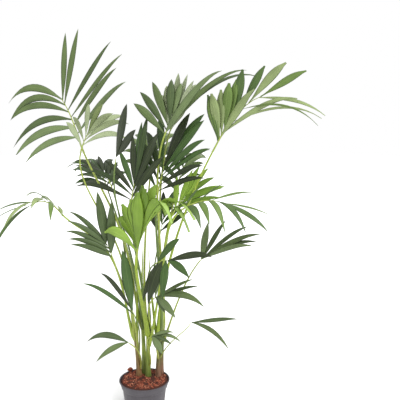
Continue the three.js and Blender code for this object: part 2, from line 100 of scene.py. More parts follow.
def linear(hex_colour):
    """An sRGB hex colour in the linear values that Blender uses."""
    shares = [channel / 255 for channel in channels(hex_colour)]
    return tuple(v / SLOPE if v <= KNEE else ((v + OFFSET) / (1 + OFFSET)) ** POWER
                 for v in shares) + (1.0,)


print("a middle grey, #808080, has", round(linear("#808080")[0], 3), "of the light of white")


# %% Nodes and finishes
def add(tree, kind, wires=(), **settings):
    """Adds a node, sets it, and fills or links its inputs. Gives back its outputs."""
    made = tree.nodes.new(kind)
    for name, value in settings.items():
        setattr(made, name, value)
    for key, value in dict(wires).items():
        if isinstance(value, bpy.types.NodeSocket):
            tree.links.new(value, made.inputs[key])
        else:
            made.inputs[key].default_value = value
    return made.outputs


def new_finish(name):
    """A new material, its node tree, and the place on the object that its patterns read."""
    material = bpy.data.materials.new(name)
    material.use_nodes = True
    material.node_tree.nodes.clear()
    return material, material.node_tree, add(material.node_tree, "ShaderNodeTexCoord")["Object"]


def finished(material, tree, tone, relief=None, depth=0, strength=1, **skin):
    """Ends a finish with its tone, its other values and a pattern in relief, depth in mm deep."""
    wires = {"Base Color": tone, **{key.replace("_", " "): value for key, value in skin.items()}}
    if relief is not None:
        wires["Normal"] = add(tree, "ShaderNodeBump", {
            "Height": relief, "Strength": strength, "Distance": depth * MM})[0]
    shader = add(tree, "ShaderNodeBsdfPrincipled", wires)
    add(tree, "ShaderNodeOutputMaterial", {"Surface": shader[0]})
    return material


print("a pattern's relief is given in mm, of", MM, "m each")

# %% Floor
FLOOR_RADIUS = 12.0
FLOOR_SIDES = 96


def from_bmesh(name, shape):
    """A new object from a shape that was built in bmesh."""
    mesh = bpy.data.meshes.new(name)
    shape.to_mesh(mesh)
    shape.free()
    return linked(name, mesh)


disc = bmesh.new()
bmesh.ops.create_circle(disc, cap_ends=True, segments=FLOOR_SIDES, radius=FLOOR_RADIUS)
floor = from_bmesh("floor", disc)
# Matt paint scatters light evenly, so the floor takes soft shadows and mirrors nothing.
paint, tree, _ = new_finish("matt_white_floor_paint")
floor.data.materials.append(finished(paint, tree, linear("#f4f4f4"), Roughness=0.9))
print("the floor is", 2 * FLOOR_RADIUS, "m wide")

# %% Light
SUN_STRENGTH = 3.3
SUN_ANGLE = 28  # degrees: the wider the lamp looks, the softer its shadows are
SUN_WAY = (-0.55, 0.9, -1.25)  # the way that its light goes
SKY_STRENGTH = 1.0

sun = linked("broad_lamp", bpy.data.lights.new("broad_lamp", "SUN"))
sun.data.energy = SUN_STRENGTH
sun.data.angle = math.radians(SUN_ANGLE)
sun.rotation_euler = Vector(SUN_WAY).to_track_quat("-Z", "Y").to_euler()

world = bpy.data.worlds.new("white_surround")
world.use_nodes = True
sky = world.node_tree.nodes["Background"].inputs
sky["Color"].default_value = (1, 1, 1, 1)
sky["Strength"].default_value = SKY_STRENGTH
bpy.context.scene.world = world
print("the lamp's strength is", SUN_STRENGTH, "and the surround's", SKY_STRENGTH)

# %% [markdown]
# ## Where everything grows
#
# The palm follows a rule, so it is described by a table instead of by points. A stem has a foot,
# a lean and a height. A frond has the place where its rib starts and ends, and for each side the
# number of leaflets, how far they open from the rib, how long they are and how much they hang.
# The functions below turn that table into paths. They repeat the rule by which the solids grew,
# with the same seeded departures, so each fine leaflet lies where its plain solid does. All sizes
# in the tables are in mm.

# %% Sizes of the pot and the bark
POT_HEIGHT = 200
RIM_RADIUS = 120
FOOT_RADIUS = 86
BODY_TOP_RADIUS = 104  # where the body meets the collar
COLLAR_HEIGHT = 40  # the flared band at the top of the pot
COLLAR_FOOT_RADIUS = 109
COLLAR_TOP_RADIUS = 117
COLLAR_STEP = 5  # height of the step from the body out to the collar
LIP = 5  # depth of the rolled lip
WALL = 2.5
FLOOR_THICKNESS = 3

BARK_EDGE = 196  # height of the bark where it meets the collar
BARK_TOP = 206  # height of the heap round the stems
HEAP_RADIUS = 102
# One large piece of bark by the rim: its stretch is over its radius, along its three axes.
CHUNK = dict(radius=14, at=(-76, 70, 215), stretch=(1.15, 0.95, 0.9), seed=21, corners=22)
print("the pot is", 2 * RIM_RADIUS, "mm wide and", POT_HEIGHT, "mm high")

# %% Sizes of the palm
GAP = 0.3  # clear space between neighbouring solids
GROUND = BARK_TOP + GAP
FLARE = 1.15  # a stem foot's swelling, over the stem's own radius
FLARE_SHARE = 0.6  # of a stem's height, over which it narrows to its top radius
LEAN_HALFWAY = 1 / 4  # share of its whole lean that a stem is pulled to half way up
STALK_TAPER = 0.7  # a power: stalks thin out faster near their feet
STALK_RING = 0.9  # radius of the ring of stalks round a stem, over the stem's top radius
STALK_LEAVES = (0.12, 0.85)  # shares of a stem's height where the lowest and highest leave it
LOW_FROND = 400  # a frond whose stalk leaves lowest starts at this height or under it
HIGH_FROND = 1000  # and one whose stalk leaves highest, at this height or over it
# Pulls on a stalk's curve, as shares of its span: how far up the lower one sits, how far out for a
# low and a high frond, and how far the upper one trails behind the frond. apart is in mm: the
# lower pulls of neighbouring stalks stand that far out from their stem, so that the stalks part.
STALK_PULL = dict(up=0.38, out=(0.3, 0.12), behind=0.22, apart=25)
RIB_RADIUS = (0.9, 0.35)  # at its start and end, over the stalk's end
LEAFLET_ROOT = 12  # distance from a stalk's end to the first leaflet
BUNCH = 0.9  # a power, for a frond that gives none: under 1, leaflets stand closer at the rib's end
RIGHT_END = 0.96  # share of the rib where the last leaflet on the right starts
LEAFLET_LIFT = 10  # degrees that leaflets rise out of the frond's plane
LEAFLET_TWIST = 4  # degrees that leaflets turn about their own length
DROOP_POWER = 2.5  # a leaflet stays straight at first and hangs at its end
ROOT_WIDTH = 0.18  # a leaflet's width at its root, as a share of its full width
FULLNESS = 0.9  # a power: under 1, it fills out a leaflet's sides
BLUNT_START = 1 / 3  # share of the length by which a blunt leaflet has the width of its end
# Departures from leaflet to leaflet, up and down: in degrees, or as shares of a leaflet's size.
SPREAD = dict(open=4, lift=8, long=0.06, twist=10, width=0.1, droop=0.25)
SEEDS_PER_FROND = 40
print("the stems stand on the bark at a height of", GROUND, "mm")

# %% The table of stems
# Where each stands, how far its top leans, its height, and its radius at the foot and the top.
STEMS = {
    "left_front": dict(foot=(-28, 30), lean=(-16, -6), height=210, radius=(12, 8)),
    "left_back": dict(foot=(-4, 52), lean=(-6, 8), height=260, radius=(12, 8)),
    "middle": dict(foot=(17, 20), lean=(4, -4), height=300, radius=(12, 8)),
    "right_front": dict(foot=(64, 22), lean=(10, -4), height=210, radius=(12, 8)),
    "right_back": dict(foot=(76, 52), lean=(14, 8), height=250, radius=(12, 8)),
}
print("the stems stand", [stem["height"] for stem in STEMS.values()], "mm high")

# %% The table of fronds
def three(value):
    """The values for the lowest, the middle and the last leaflet, of which one stands for all."""
    return value if isinstance(value, tuple) else (value, value, value)


def side(count, open, long, droop, slim=1, peak=1):
    """One side of a frond: how many leaflets, how far they open, their length, droop and slimness.
    peak is a power: over 1 it moves their widest point to their ends, under 1 to their roots."""
    return dict(count=count, open=three(open), long=three(long), droop=three(droop),
                slim=three(slim), peak=peak)


def alike(*row):
    """Both sides of a frond, where they are the same."""
    return dict(left=side(*row), right=side(*row))


# For each frond: the stem that it leaves, where its rib starts and ends, how far the rib's middle
# rises over a straight line, how far the frond is rolled about its rib in degrees, its leaflets'
# full width, its stalk's radius at the foot and the top, its tint and its two sides. bow is a point
# that pulls the middle of a stalk, blunt is the width of leaflets' ends where they aren't pointed,
# and bunch is a power: over 1 it stands the leaflets closer at the rib's start.
FRONDS = {
    "high_left": dict(
        stem="left_back", base=(-280, 40, 1340), tip=(-365, 100, 1520), rise=20, roll=-65,
        width=34, stalk=(8, 4.5), tint="mature", bow=(-60, 60, 950),
        left=side(6, (70, 50, 15), (250, 320, 310), 0.5),
        right=side(6, (63, 61, 42), (400, 385, 320), (0.1, 0.06, 0.04), 0.75),
    ),
    "pale_left": dict(
        stem="left_front", base=(-252, -60, 1308), tip=(-222, -70, 1375), rise=5, roll=105,
        width=32, stalk=(7, 3.5), tint="pale", bow=(-40, -40, 930),
        left=side(4, (46, 26, 5), (170, 190, 190), 0.25, 0.8, peak=1.2),
        right=side(4, (34, 26, 8), (280, 270, 200), (0.4, 0.32, 0.15), 0.85, peak=1.2),
    ),
    "dark_left": dict(
        stem="left_front", base=(-145, 120, 1095), tip=(-205, 200, 1175), rise=15, roll=0,
        width=38, stalk=(7, 3.5), tint="dark",
        left=side(7, (62, 40, 10), (190, 200, 190), 0.28, 0.65),
        right=side(6, (45, 28, 10), (130, 160, 170), 0.12, 0.7),
    ),
    "slim_left": dict(
        stem="left_back", base=(-92, -170, 1255), tip=(-86, -174, 1290), rise=0, roll=80,
        width=42, stalk=(6.5, 3), tint="dark", bow=(-80, -30, 980),
        left=side(1, -19, 290, 0.02),
        right=side(1, 42, 200, 0.02, 0.85),
    ),
    "dark_centre": dict(
        stem="left_back", base=(-40, -60, 1070), tip=(-25, -20, 1160), rise=5, roll=0,
        width=42, stalk=(8.5, 4.5), tint="dark",
        left=side(6, (66, 34, 6), (330, 240, 300), (0.3, 0.1, 0.05), (0.45, 0.65, 0.85)),
        right=side(4, (28, 16, 4), (270, 290, 320), 0.08, 0.8),
    ),
    "top_centre": dict(
        stem="right_back", base=(106, 0, 1358), tip=(140, 10, 1428), rise=5, roll=50,
        width=46, stalk=(8, 4), tint="mature",
        left=side(5, (58, 42, 16), (222, 235, 200), 0.05, 0.85, peak=1.3),
        right=side(3, (20, 18, 12), (480, 540, 570), (0.24, 0.28, 0.28), (0.75, 0.55, 0.42),
                   peak=0.55),
    ),
    "top_pale": dict(
        stem="right_back", base=(124, 130, 1364), tip=(152, 110, 1430), rise=5, roll=0,
        width=58, stalk=(7.5, 3.5), tint="pale",
        left=side(4, (38, 20, 4), (200, 225, 225), 0.05, peak=1.5),
        right=side(4, (28, 14, 4), (210, 235, 245), 0.04, peak=1.5),
    ),
    "dark_right": dict(
        stem="right_front", base=(73, 10, 1090), tip=(103, 60, 1221), rise=10, roll=0,
        width=54, stalk=(8.5, 4.5), tint="dark",
        left=side(5, (36, 26, 10), (262, 292, 292), 0.08, (0.7, 0.85, 1), peak=1.35),
        right=side(7, (62, 44, 14), (272, 332, 312), (0.2, 0.12, 0.06), (0.5, 0.62, 1), peak=1.2),
    ),
    "high_right": dict(
        stem="right_front", base=(340, -40, 1330), tip=(525, -80, 1535), rise=35, roll=65,
        width=58, stalk=(9.5, 4), tint="mid", blunt=0.2, bunch=2,
        left=side(10, (42, 25, 4), (225, 225, 245), 0.04, (1, 0.9, 0.65), peak=1.35),
        right=side(5, (2, 34, 24), (275, 450, 290), (0.1, 0.34, 0.3), (0.8, 0.18, 0.27)),
    ),
}
print("the first", len(FRONDS), "fronds are", ", ".join(FRONDS))

# %% Fronds round the middle
FRONDS.update({
    "young_centre": dict(
        stem="middle", base=(-10, -150, 855), tip=(5, -150, 940), rise=0, roll=65,
        width=72, stalk=(12, 6), tint="young", blunt=0.32,
        left=side(7, (42, 16, -6), (255, 225, 250), (0.5, 0.05, 0.04), (0.75, 0.9, 1), peak=1.4),
        right=side(6, (2, 14, 22), (300, 510, 530), (0.06, 0.55, 0.68), (0.9, 0.6, 0.45), peak=1.2),
    ),
    "bright_right": dict(
        stem="right_back", base=(145, 60, 1005), tip=(195, 85, 1065), rise=5, roll=40,
        width=32, stalk=(8.5, 4), tint="young",
        left=side(4, (30, 16, 4), (170, 200, 190), 0.05, 0.9),
        right=side(4, (42, 28, 8), (220, 225, 200), 0.12, 0.85),
    ),
    "arching_right": dict(
        stem="right_front", base=(185, -100, 1045), tip=(370, -150, 1085), rise=25, roll=20,
        width=34, stalk=(9.5, 4.5), tint="mid",
        left=side(4, (44, 34, 8), (170, 200, 230), (0.2, 0.15, 0.15), 0.75),
        right=side(5, (46, 44, 12), (140, 150, 220), (0.9, 0.7, 0.25), 0.85),
    ),
    "low_right": dict(
        stem="right_back", base=(265, -60, 802), tip=(279, -64, 816), rise=1, roll=60,
        width=46, stalk=(6, 3), tint="mature",
        left=side(3, (46, 18, 4), (190, 230, 300), (0.02, 0.05, 0.1), (1, 0.65, 0.5)),
        right=side(3, (18, 12, 8), (320, 340, 340), (0.16, 0.14, 0.12), 0.5),
    ),
    "back_low": dict(
        stem="middle", base=(70, 190, 860), tip=(85, 255, 940), rise=5, roll=0,
        width=34, stalk=(4.5, 3), tint="dark",
        left=side(3, (30, 18, 8), (160, 170, 160), 0.05, 0.8),
        right=side(4, (45, 28, 10), (190, 190, 170), 0.1, 0.8),
    ),
    "front_centre": dict(
        stem="middle", base=(70, -150, 815), tip=(130, -185, 840), rise=5, roll=60,
        width=36, stalk=(5, 3), tint="dark",
        left=side(2, (24, 18, 12), (190, 210, 250), 0.12),
        right=side(4, (126, 102, 20), (150, 150, 140), 0.22, (1.4, 1.5, 1)),
    ),
    "low_left": dict(
        stem="left_front", base=(-117, -120, 827), tip=(-152, -100, 900), rise=5, roll=-60,
        width=38, stalk=(5.5, 3), tint="mature",
        left=side(5, (46, 32, 8), (215, 240, 250), 0.18, 0.62, peak=0.8),
        right=side(2, (30, 22, 22), (255, 258, 260), 0.05, 1.15, peak=0.8),
    ),
})
print("with those round the middle there are", len(FRONDS), "fronds")

# %% Fronds low in front
FRONDS.update({
    "foot_left": dict(
        stem="left_front", base=(-24, -130, 562), tip=(-38, -131, 594), rise=1, roll=-75,
        width=42, stalk=(4, 3), tint="dark",
        left=side(2, (18, 10, 1), (375, 345, 320), (0.15, 0.18, 0.2), 0.5),
        right=side(1, 16, 315, 0.02, 1.1),
    ),
    "foot_right": dict(
        stem="right_front", base=(57, -110, 640), tip=(74, -116, 652), rise=1, roll=65,
        width=36, stalk=(4, 3), tint="mature",
        left=side(3, (54, 0, 0), (170, 240, 235), (0.03, 0.05, 0.08), (0.8, 0.45, 0.45)),
        right=side(3, (66, 44, 10), (90, 145, 265), (0.15, 0.2, 0.3), (0.7, 1.1, 0.9)),
    ),
    "small_front": dict(
        stem="middle", base=(33, -70, 440), tip=(51, -74, 450), rise=1, roll=60,
        width=26, stalk=(4, 2.5), tint="mature",
        left=side(2, (-4, -4, -5), (130, 138, 145), (0.25, 0.3, 0.4), (0.6, 0.6, 0.7)),
        right=side(2, (63, 46, 29), (85, 100, 115), 0.15, (1.3, 1, 0.8)),
    ),
    "pair_left": dict(
        stem="left_front", base=(-54, -62, 403), tip=(-68, -64, 413), rise=0, roll=-80,
        width=32, stalk=(4, 3), tint="mature",
        left=side(1, 40, 150, 0.35, 0.9),
        right=side(1, 3, 245, 0.45),
    ),
    "pair_right": dict(
        stem="right_front", base=(216, -60, 494), tip=(228, -60, 509), rise=0, roll=80,
        width=28, stalk=(3.5, 2.2), tint="mature",
        left=side(1, -40, 225, 0.02, 0.65),
        right=side(1, 59, 170, 0.42, 0.9),
    ),
})
print("with those low in front there are", len(FRONDS), "fronds")

# %% Fronds at the back and the far left
FRONDS.update({
    "arching_left": dict(
        stem="left_front", base=(-355, -60, 1025), tip=(-460, -130, 1075), rise=30, roll=0,
        width=34, stalk=(8, 4), tint="mid", bow=(-90, 40, 900),
        left=side(5, (60, 45, 12), (180, 200, 230), 0.5, 0.8),
        right=side(5, (60, 45, 12), (180, 200, 230), 0.4, 0.8),
    ),
    "back_left": dict(
        stem="left_back", base=(-195, 300, 1065), tip=(-270, 420, 1160), rise=20, roll=0,
        width=30, stalk=(6.5, 3.5), tint="dark",
        **alike(5, (50, 35, 12), (200, 220, 240), 0.35),
    ),
    "back_middle": dict(
        stem="middle", base=(20, 280, 1145), tip=(35, 400, 1270), rise=20, roll=0,
        width=32, stalk=(7, 4), tint="mature",
        **alike(6, (50, 35, 12), (200, 240, 240), 0.35),
    ),
    "back_right": dict(
        stem="right_back", base=(145, 260, 1060), tip=(195, 360, 1195), rise=20, roll=0,
        width=30, stalk=(6.5, 3.5), tint="mature",
        **alike(5, (50, 35, 12), (180, 200, 200), 0.35),
    ),
})
print(len(STEMS), "stems carry", len(FRONDS), "fronds with",
      sum(f["left"]["count"] + f["right"]["count"] for f in FRONDS.values()), "leaflets")


# %% Blending and varying
def mix(a, b, share):
    """A value at a share of the way from a to b."""
    return a + (b - a) * share


def through(row, share):
    """A value at a share of the way through three: the first, the middle and the last."""
    first, middle, last = row
    return (first * (1 - share) * (1 - 2 * share) + middle * 4 * share * (1 - share)
            + last * share * (2 * share - 1))


SCRAMBLE = (12.9898, 78.233, 43758.5453)  # odd numbers, with which a sine seems to be random


def vary(seed, index, size):
    """The same small departure, from -size to size, each time it is asked for."""
    wave = math.sin(seed * SCRAMBLE[0] + index * SCRAMBLE[1]) * SCRAMBLE[2]
    return (2 * (wave - math.floor(wave)) - 1) * size


print("half way through 0, 10 and 40 lies", through((0, 10, 40), 0.5))


# %% A path
class Path:
    """A curve pulled by points, walked at an even pace."""

    STEPS = 200
    NUDGE = 1e-4  # of the pace, back and on, to see which way the curve goes

    def __init__(self, pulls):
        self.pulls = [Vector(p) for p in pulls]
        self.marks = [0.0]
        last = self.curve(0)
        for step in range(1, self.STEPS + 1):
            here = self.curve(step / self.STEPS)
            self.marks.append(self.marks[-1] + (here - last).length)
            last = here
        self.length = self.marks[-1]

    def curve(self, pace):
        row = self.pulls
        while len(row) > 1:
            row = [a.lerp(b, pace) for a, b in zip(row, row[1:])]
        return row[0]

    def pace(self, share):
        goal = share * self.length
        step = next((i for i, mark in enumerate(self.marks) if mark >= goal), self.STEPS)
        if step == 0:
            return 0.0
        before, after = self.marks[step - 1], self.marks[step]
        return (step - 1 + (goal - before) / (after - before)) / self.STEPS

    def at(self, share):
        return self.curve(self.pace(share))

    def ahead(self, share):
        pace = self.pace(share)
        back, on = max(0, pace - self.NUDGE), min(1, pace + self.NUDGE)
        return (self.curve(on) - self.curve(back)).normalized()


print("a straight path of 10 mm measures", round(Path([(0, 0, 0), (0, 0, 10)]).length, 3), "mm")


# %% Paths of stems and ribs
def stem_path(stem):
    (x, y), (dx, dy), height = stem["foot"], stem["lean"], stem["height"]
    return Path([(x, y, GROUND),
                 (x + dx * LEAN_HALFWAY, y + dy * LEAN_HALFWAY, GROUND + height / 2),
                 (x + dx, y + dy, GROUND + height)])


def rib_path(frond):
    """A pull lifts the curve by half its own height, so it stands twice as high as the rise."""
    base, tip = Vector(frond["base"]), Vector(frond["tip"])
    return Path([base, (base + tip) / 2 + UP * 2 * frond["rise"], tip])


ribs = {name: rib_path(frond) for name, frond in FRONDS.items()}
print("the longest rib is", round(max(p.length for p in ribs.values())), "mm long")


# %% Paths of stalks
def heading(name):
    """The way that a frond goes, seen from above, as an angle."""
    frond = FRONDS[name]
    x, y = STEMS[frond["stem"]]["foot"]
    return math.atan2(frond["base"][1] - y, frond["base"][0] - x)


def ring_places():
    """The angle at which each stalk leaves its stem, in the order of the ways that they go."""
    places = {}
    for stem in STEMS:
        own = sorted((n for n in FRONDS if FRONDS[n]["stem"] == stem), key=heading)
        for i, name in enumerate(own):
            places[name] = heading(own[0]) + 2 * math.pi * i / len(own)
    return places


def stalk_path(frond, turn):
    level = min(1, max(0, (frond["base"][2] - LOW_FROND) / (HIGH_FROND - LOW_FROND)))
    stem = STEMS[frond["stem"]]
    out = stem["radius"][1] * STALK_RING
    aside = Vector((math.cos(turn), math.sin(turn), 0))
    start = stem_path(stem).at(mix(*STALK_LEAVES, level)) + aside * out
    aim = rib_path(frond).ahead(0)
    end = Vector(frond["base"]) - aim * GAP
    span = (end - start).length
    lower = start.lerp(end, mix(*STALK_PULL["out"], level)) + aside * STALK_PULL["apart"]
    lower.z = start.z + span * STALK_PULL["up"]
    pulls = [start, lower]
    if "bow" in frond:
        pulls.append(Vector(frond["bow"]))
    return Path(pulls + [end - aim * span * STALK_PULL["behind"], end])


places = ring_places()
stalks = {name: stalk_path(frond, places[name]) for name, frond in FRONDS.items()}
print("the longest stalk is", round(max(p.length for p in stalks.values())), "mm long")


# %% A frond's own directions
def frond_axes(frond, rib, share):
    """Along a frond's rib, to its right and out of its face, at a share of the rib."""
    level = Vector(frond["tip"]) - Vector(frond["base"])
    level.z = 0
    right = level.normalized().cross(UP)
    ahead = rib.ahead(share)
    face = right.cross(ahead).normalized()
    roll = math.radians(frond["roll"])
    return (ahead, right * math.cos(roll) - face * math.sin(roll),
            face * math.cos(roll) + right * math.sin(roll))


ahead, right, face = frond_axes(FRONDS["high_left"], ribs["high_left"], 0)
print("ahead, right and face stand square to each other: the box that they span holds",
      round(abs(ahead.cross(right).dot(face)), 3))


# %% Leaflets by the rule
def depart(pick, what):
    """How far a leaflet departs from the rule in one thing. Each thing has its own draw."""
    return vary(pick, 1 + list(SPREAD).index(what), SPREAD[what])


def leaflet_plan(frond, seed, rib, row, sign, index):
    """Where a leaflet starts, how it sets out and its size. sign is -1 on the left, and 1 on the
    right, where the leaflets start half a step later."""
    turn = 1 if row["count"] == 1 else index / (row["count"] - 1)
    half_step = 0.5 / row["count"] if sign > 0 else 0
    share = mix(LEAFLET_ROOT / rib.length, RIGHT_END if sign > 0 else 1,
                min(1, turn ** frond.get("bunch", BUNCH) + half_step))
    ahead, right, face = frond_axes(frond, rib, share)
    pick = seed * SEEDS_PER_FROND + index + (SEEDS_PER_FROND / 2 if sign > 0 else 0)
    open_by = math.radians(through(row["open"], turn) + depart(pick, "open"))
    lift = math.radians(LEAFLET_LIFT + depart(pick, "lift"))
    out = (ahead * math.cos(open_by) + right * sign * math.sin(open_by)
           + face * math.sin(lift)).normalized()
    twist = math.radians(sign * LEAFLET_TWIST + depart(pick, "twist"))
    across = Matrix.Rotation(twist, 3, out) @ face.cross(out).normalized()
    return dict(
        root=rib.at(share), out=out, across=across, pick=pick,
        long=through(row["long"], turn) * (1 + depart(pick, "long")),
        width=frond["width"] * through(row["slim"], turn) * (1 + depart(pick, "width")),
        droop=through(row["droop"], turn) * (1 + depart(pick, "droop")),
        blunt=frond.get("blunt", 0), peak=row["peak"],
    )


def outline(share, peak, blunt):
    """Share of its full width that a leaflet has at a share of its length."""
    lance = max(0, math.sin(math.pi * share ** peak)) ** FULLNESS
    return max(lance, ROOT_WIDTH * (1 - share), blunt * min(1, share / BLUNT_START))


def leaflet_centre(plan, share):
    """A point on a leaflet's middle line."""
    return (plan["root"] + plan["out"] * plan["long"] * share
            - UP * plan["long"] * plan["droop"] * share ** DROOP_POWER)


print("a quarter along, a leaflet has", round(outline(0.25, 1, 0), 2), "of its full width")

# %% [markdown]
# ## Which leaflets grew
#
# A leaflet that would have met another piece, or that came apart from its rib, is not on the
# solid palm, and it must stay off here. The rule alone doesn't tell which, but the solids do: a
# leaflet that grew has its middle line in the solid frond or on it, and one that was left off has
# nothing there. A search tree over the frond's own faces answers that for a point in no time. A
# point on the middle line may lie up to half a leaflet's thickness under the nearest face, so the
# test allows for that.

# %% Leaflets that grew
PROBE = 0.64  # share of the length where the plain solid is exact
# In mm: over half the thickness of the thickest leaflet, and under the gap where one is missing.
NEAR = 5


def solid_search(node):
    """A search tree over the faces of a solid."""
    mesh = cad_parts[node].data
    return BVHTree.FromPolygons([v.co for v in mesh.vertices], [p.vertices for p in mesh.polygons])


leaflets = {}
left_off = 0
for place, (name, frond) in enumerate(FRONDS.items()):
    search = solid_search(f"frond_{name}")
    leaflets[name] = []
    for row, sign in ((frond["left"], -1), (frond["right"], 1)):
        for index in range(row["count"]):
            plan = leaflet_plan(frond, place + 1, ribs[name], row, sign, index)
            distance = search.find_nearest(leaflet_centre(plan, PROBE) * MM)[3]
            if distance < NEAR * MM:
                leaflets[name].append(plan)
            else:
                left_off += 1
print(sum(len(row) for row in leaflets.values()), "leaflets grow and", left_off, "were left off")

# %% [markdown]
# ## One tree that sweeps
#
# Stems, stalks, ribs and leaflets are all a cross-section carried along a path. A loft could be
# written in code for each, and a bevelled curve would do for round ones, but a leaflet needs to
# turn and narrow on its way. So one Geometry Nodes tree does all of it. Its input is a mesh of
# plain paths with three values on each point: which way the section's edge faces, how wide it is
# there, and which of the materials the path gets. The section is a second small mesh. The tree
# turns both into curves, sweeps one along the other, closes the tips and hands out the materials.

# %% The sweeping tree
SWEPT_SKINS = ("Upper Material", "Second Material", "Third Material", "Under Material")
# The stored value, and the amount over which a face gets each of the skins but the first.
CHOICES = (("shade", 0.5), ("shade", 1.5), ("under", 0.6))


def new_tree(name, inputs):
    """A new Geometry Nodes tree, and the outputs of the node that holds its inputs."""
    tree = bpy.data.node_groups.new(name, "GeometryNodeTree")
    for title, kind in inputs:
        tree.interface.new_socket(title, in_out="INPUT", socket_type=f"NodeSocket{kind}")
    tree.interface.new_socket("Geometry", in_out="OUTPUT", socket_type="NodeSocketGeometry")
    return tree, add(tree, "NodeGroupInput")


def sweep_tree():
    """The tree that carries a section along paths."""
    tree, given = new_tree("sweep_section_along_paths", (
        ("Paths", "Geometry"), ("Section", "Object"), ("Close Tips Within", "Float"),
        *((title, "Material") for title in SWEPT_SKINS)))
    stored = {}
    for name, kind in (("edge", "FLOAT_VECTOR"), ("half", "FLOAT"), ("shade", "FLOAT"),
                       ("under", "FLOAT")):
        stored[name] = add(tree, "GeometryNodeInputNamedAttribute", {"Name": name},
                           data_type=kind)[0]
    paths = add(tree, "GeometryNodeMeshToCurve", {"Mesh": given["Paths"]})
    paths = add(tree, "GeometryNodeSetCurveNormal",
                {"Curve": paths[0], "Normal": stored["edge"]}, mode="FREE")
    section = add(tree, "GeometryNodeObjectInfo", {"Object": given["Section"]})
    section = add(tree, "GeometryNodeMeshToCurve", {"Mesh": section["Geometry"]})
    swept = add(tree, "GeometryNodeCurveToMesh", {
        "Curve": paths[0], "Profile Curve": section[0], "Scale": stored["half"],
        "Fill Caps": True})
    closed = add(tree, "GeometryNodeMergeByDistance",
                 {"Geometry": swept[0], "Distance": given["Close Tips Within"]})
    smooth = add(tree, "GeometryNodeSetShadeSmooth", {"Geometry": closed[0]})
    result = add(tree, "GeometryNodeRealizeInstances", {"Geometry": smooth[0]})
    result = add(tree, "GeometryNodeSetMaterial",
                 {"Geometry": result[0], "Material": given[SWEPT_SKINS[0]]})
    for (value, over), title in zip(CHOICES, SWEPT_SKINS[1:]):
        chosen = add(tree, "FunctionNodeCompare", {"A": stored[value], "B": over},
                     operation="GREATER_THAN")
        result = add(tree, "GeometryNodeSetMaterial", {
            "Geometry": result[0], "Selection": chosen[0], "Material": given[title]})
    add(tree, "NodeGroupOutput", {"Geometry": result[0]})
    return tree


SWEEP = sweep_tree()
print("the sweeping tree has", len(SWEEP.nodes), "nodes")


# %% Sections and paths as meshes
def store(mesh, name, kind, values):
    """Keeps one value for each point of a mesh."""
    layer = mesh.attributes.new(name, kind, "POINT")
    key = "vector" if kind == "FLOAT_VECTOR" else "value"
    layer.data.foreach_set(key, [c for v in values for c in v] if key == "vector" else values)


def section(name, points, under=None):
    """A closed cross-section, counter-clockwise, in shares of the half width."""
    mesh = bpy.data.meshes.new(name)
    count = len(points)
    mesh.from_pydata([(x, y, 0) for x, y in points],
                     [(i, (i + 1) % count) for i in range(count)], [])
    store(mesh, "across", "FLOAT", [x for x, _ in points])
    store(mesh, "under", "FLOAT", under or [0.0] * count)
    return linked(name, mesh)


def paths_mesh(name, lines):
    """lines holds, for each path, points in mm, ways that the section's edge faces, half widths
    in mm and one shade."""
    mesh = bpy.data.meshes.new(name)
    points, edges, facing, halves, shades = [], [], [], [], []
    for line in lines:
        first = len(points)
        count = len(line["points"])
        points += [p * MM for p in line["points"]]
        edges += [(first + i, first + i + 1) for i in range(count - 1)]
        facing += line["edges"]
        halves += [h * MM for h in line["halves"]]
        shades += [float(line["shade"])] * count
    mesh.from_pydata(points, edges, [])
    store(mesh, "edge", "FLOAT_VECTOR", facing)
    store(mesh, "half", "FLOAT", halves)
    store(mesh, "shade", "FLOAT", shades)
    return linked(name, mesh)


print("a section and a path are plain meshes, with values on their points for the tree")

# %% Running a tree
CLOSE_TIPS = 0.04  # mm: corners closer than this become one


def plain(made):
    """The object's finished shape as a plain mesh, without its modifiers."""
    graph = bpy.context.evaluated_depsgraph_get()
    mesh = bpy.data.meshes.new_from_object(
        made.evaluated_get(graph), preserve_all_data_layers=True, depsgraph=graph)
    made.modifiers.clear()
    made.data = mesh
    mesh.name = made.name
    return made


def run_tree(made, tree, values):
    """Runs a tree on an object, with its inputs set by name before it is first evaluated."""
    modifier = made.modifiers.new(tree.name, "NODES")
    modifier.node_group = tree
    for item in tree.interface.items_tree:
        if item.item_type == "SOCKET" and item.in_out == "INPUT" and item.name in values:
            modifier[item.identifier] = values[item.name]
    return plain(made)


def sweep(name, lines, cross, *skins):
    """Skins that aren't given are the same as the first."""
    skins += skins[:1] * (len(SWEPT_SKINS) - len(skins))
    made = run_tree(paths_mesh(name, lines), SWEEP, {
        "Section": cross, "Close Tips Within": CLOSE_TIPS * MM, **dict(zip(SWEPT_SKINS, skins))})
    print(name, "has", len(lines), "paths and", len(made.data.polygons), "faces")
    return made


print("a swept shape's corners that are within", CLOSE_TIPS, "mm become one")

# %% [markdown]
# ## Pot
#
# The pot is moulded polypropylene: a thin tapering cup with a collar round its top and a rolled
# lip. A lathe shape is the obvious way. The profile is a short list of radius and height, and it
# is turned in enough steps to look round. A bevel rounds its corners, because a moulded edge is
# never sharp and catches a thin line of light.

# %% Moulded plastic
GRAIN = 1.2  # mm. A mould's own grain is a few tenths of a mm, which is too fine to show here
DUST_CLOUD = 45  # mm
SCUFF = 9  # mm wide
SCUFF_STRETCH = 0.12  # squeezes the pattern's height, so that it draws the scuffs out upwards
SPAN = ("From Min", "From Max", "To Min", "To Max")  # two values, and what they are turned into
DUSTY = (0.42, 0.72, 0.0, 0.35)  # clouds to a share of dust
SCUFFED = (0.3, 0.7, 0.42, 0.6)  # scuffs to roughness


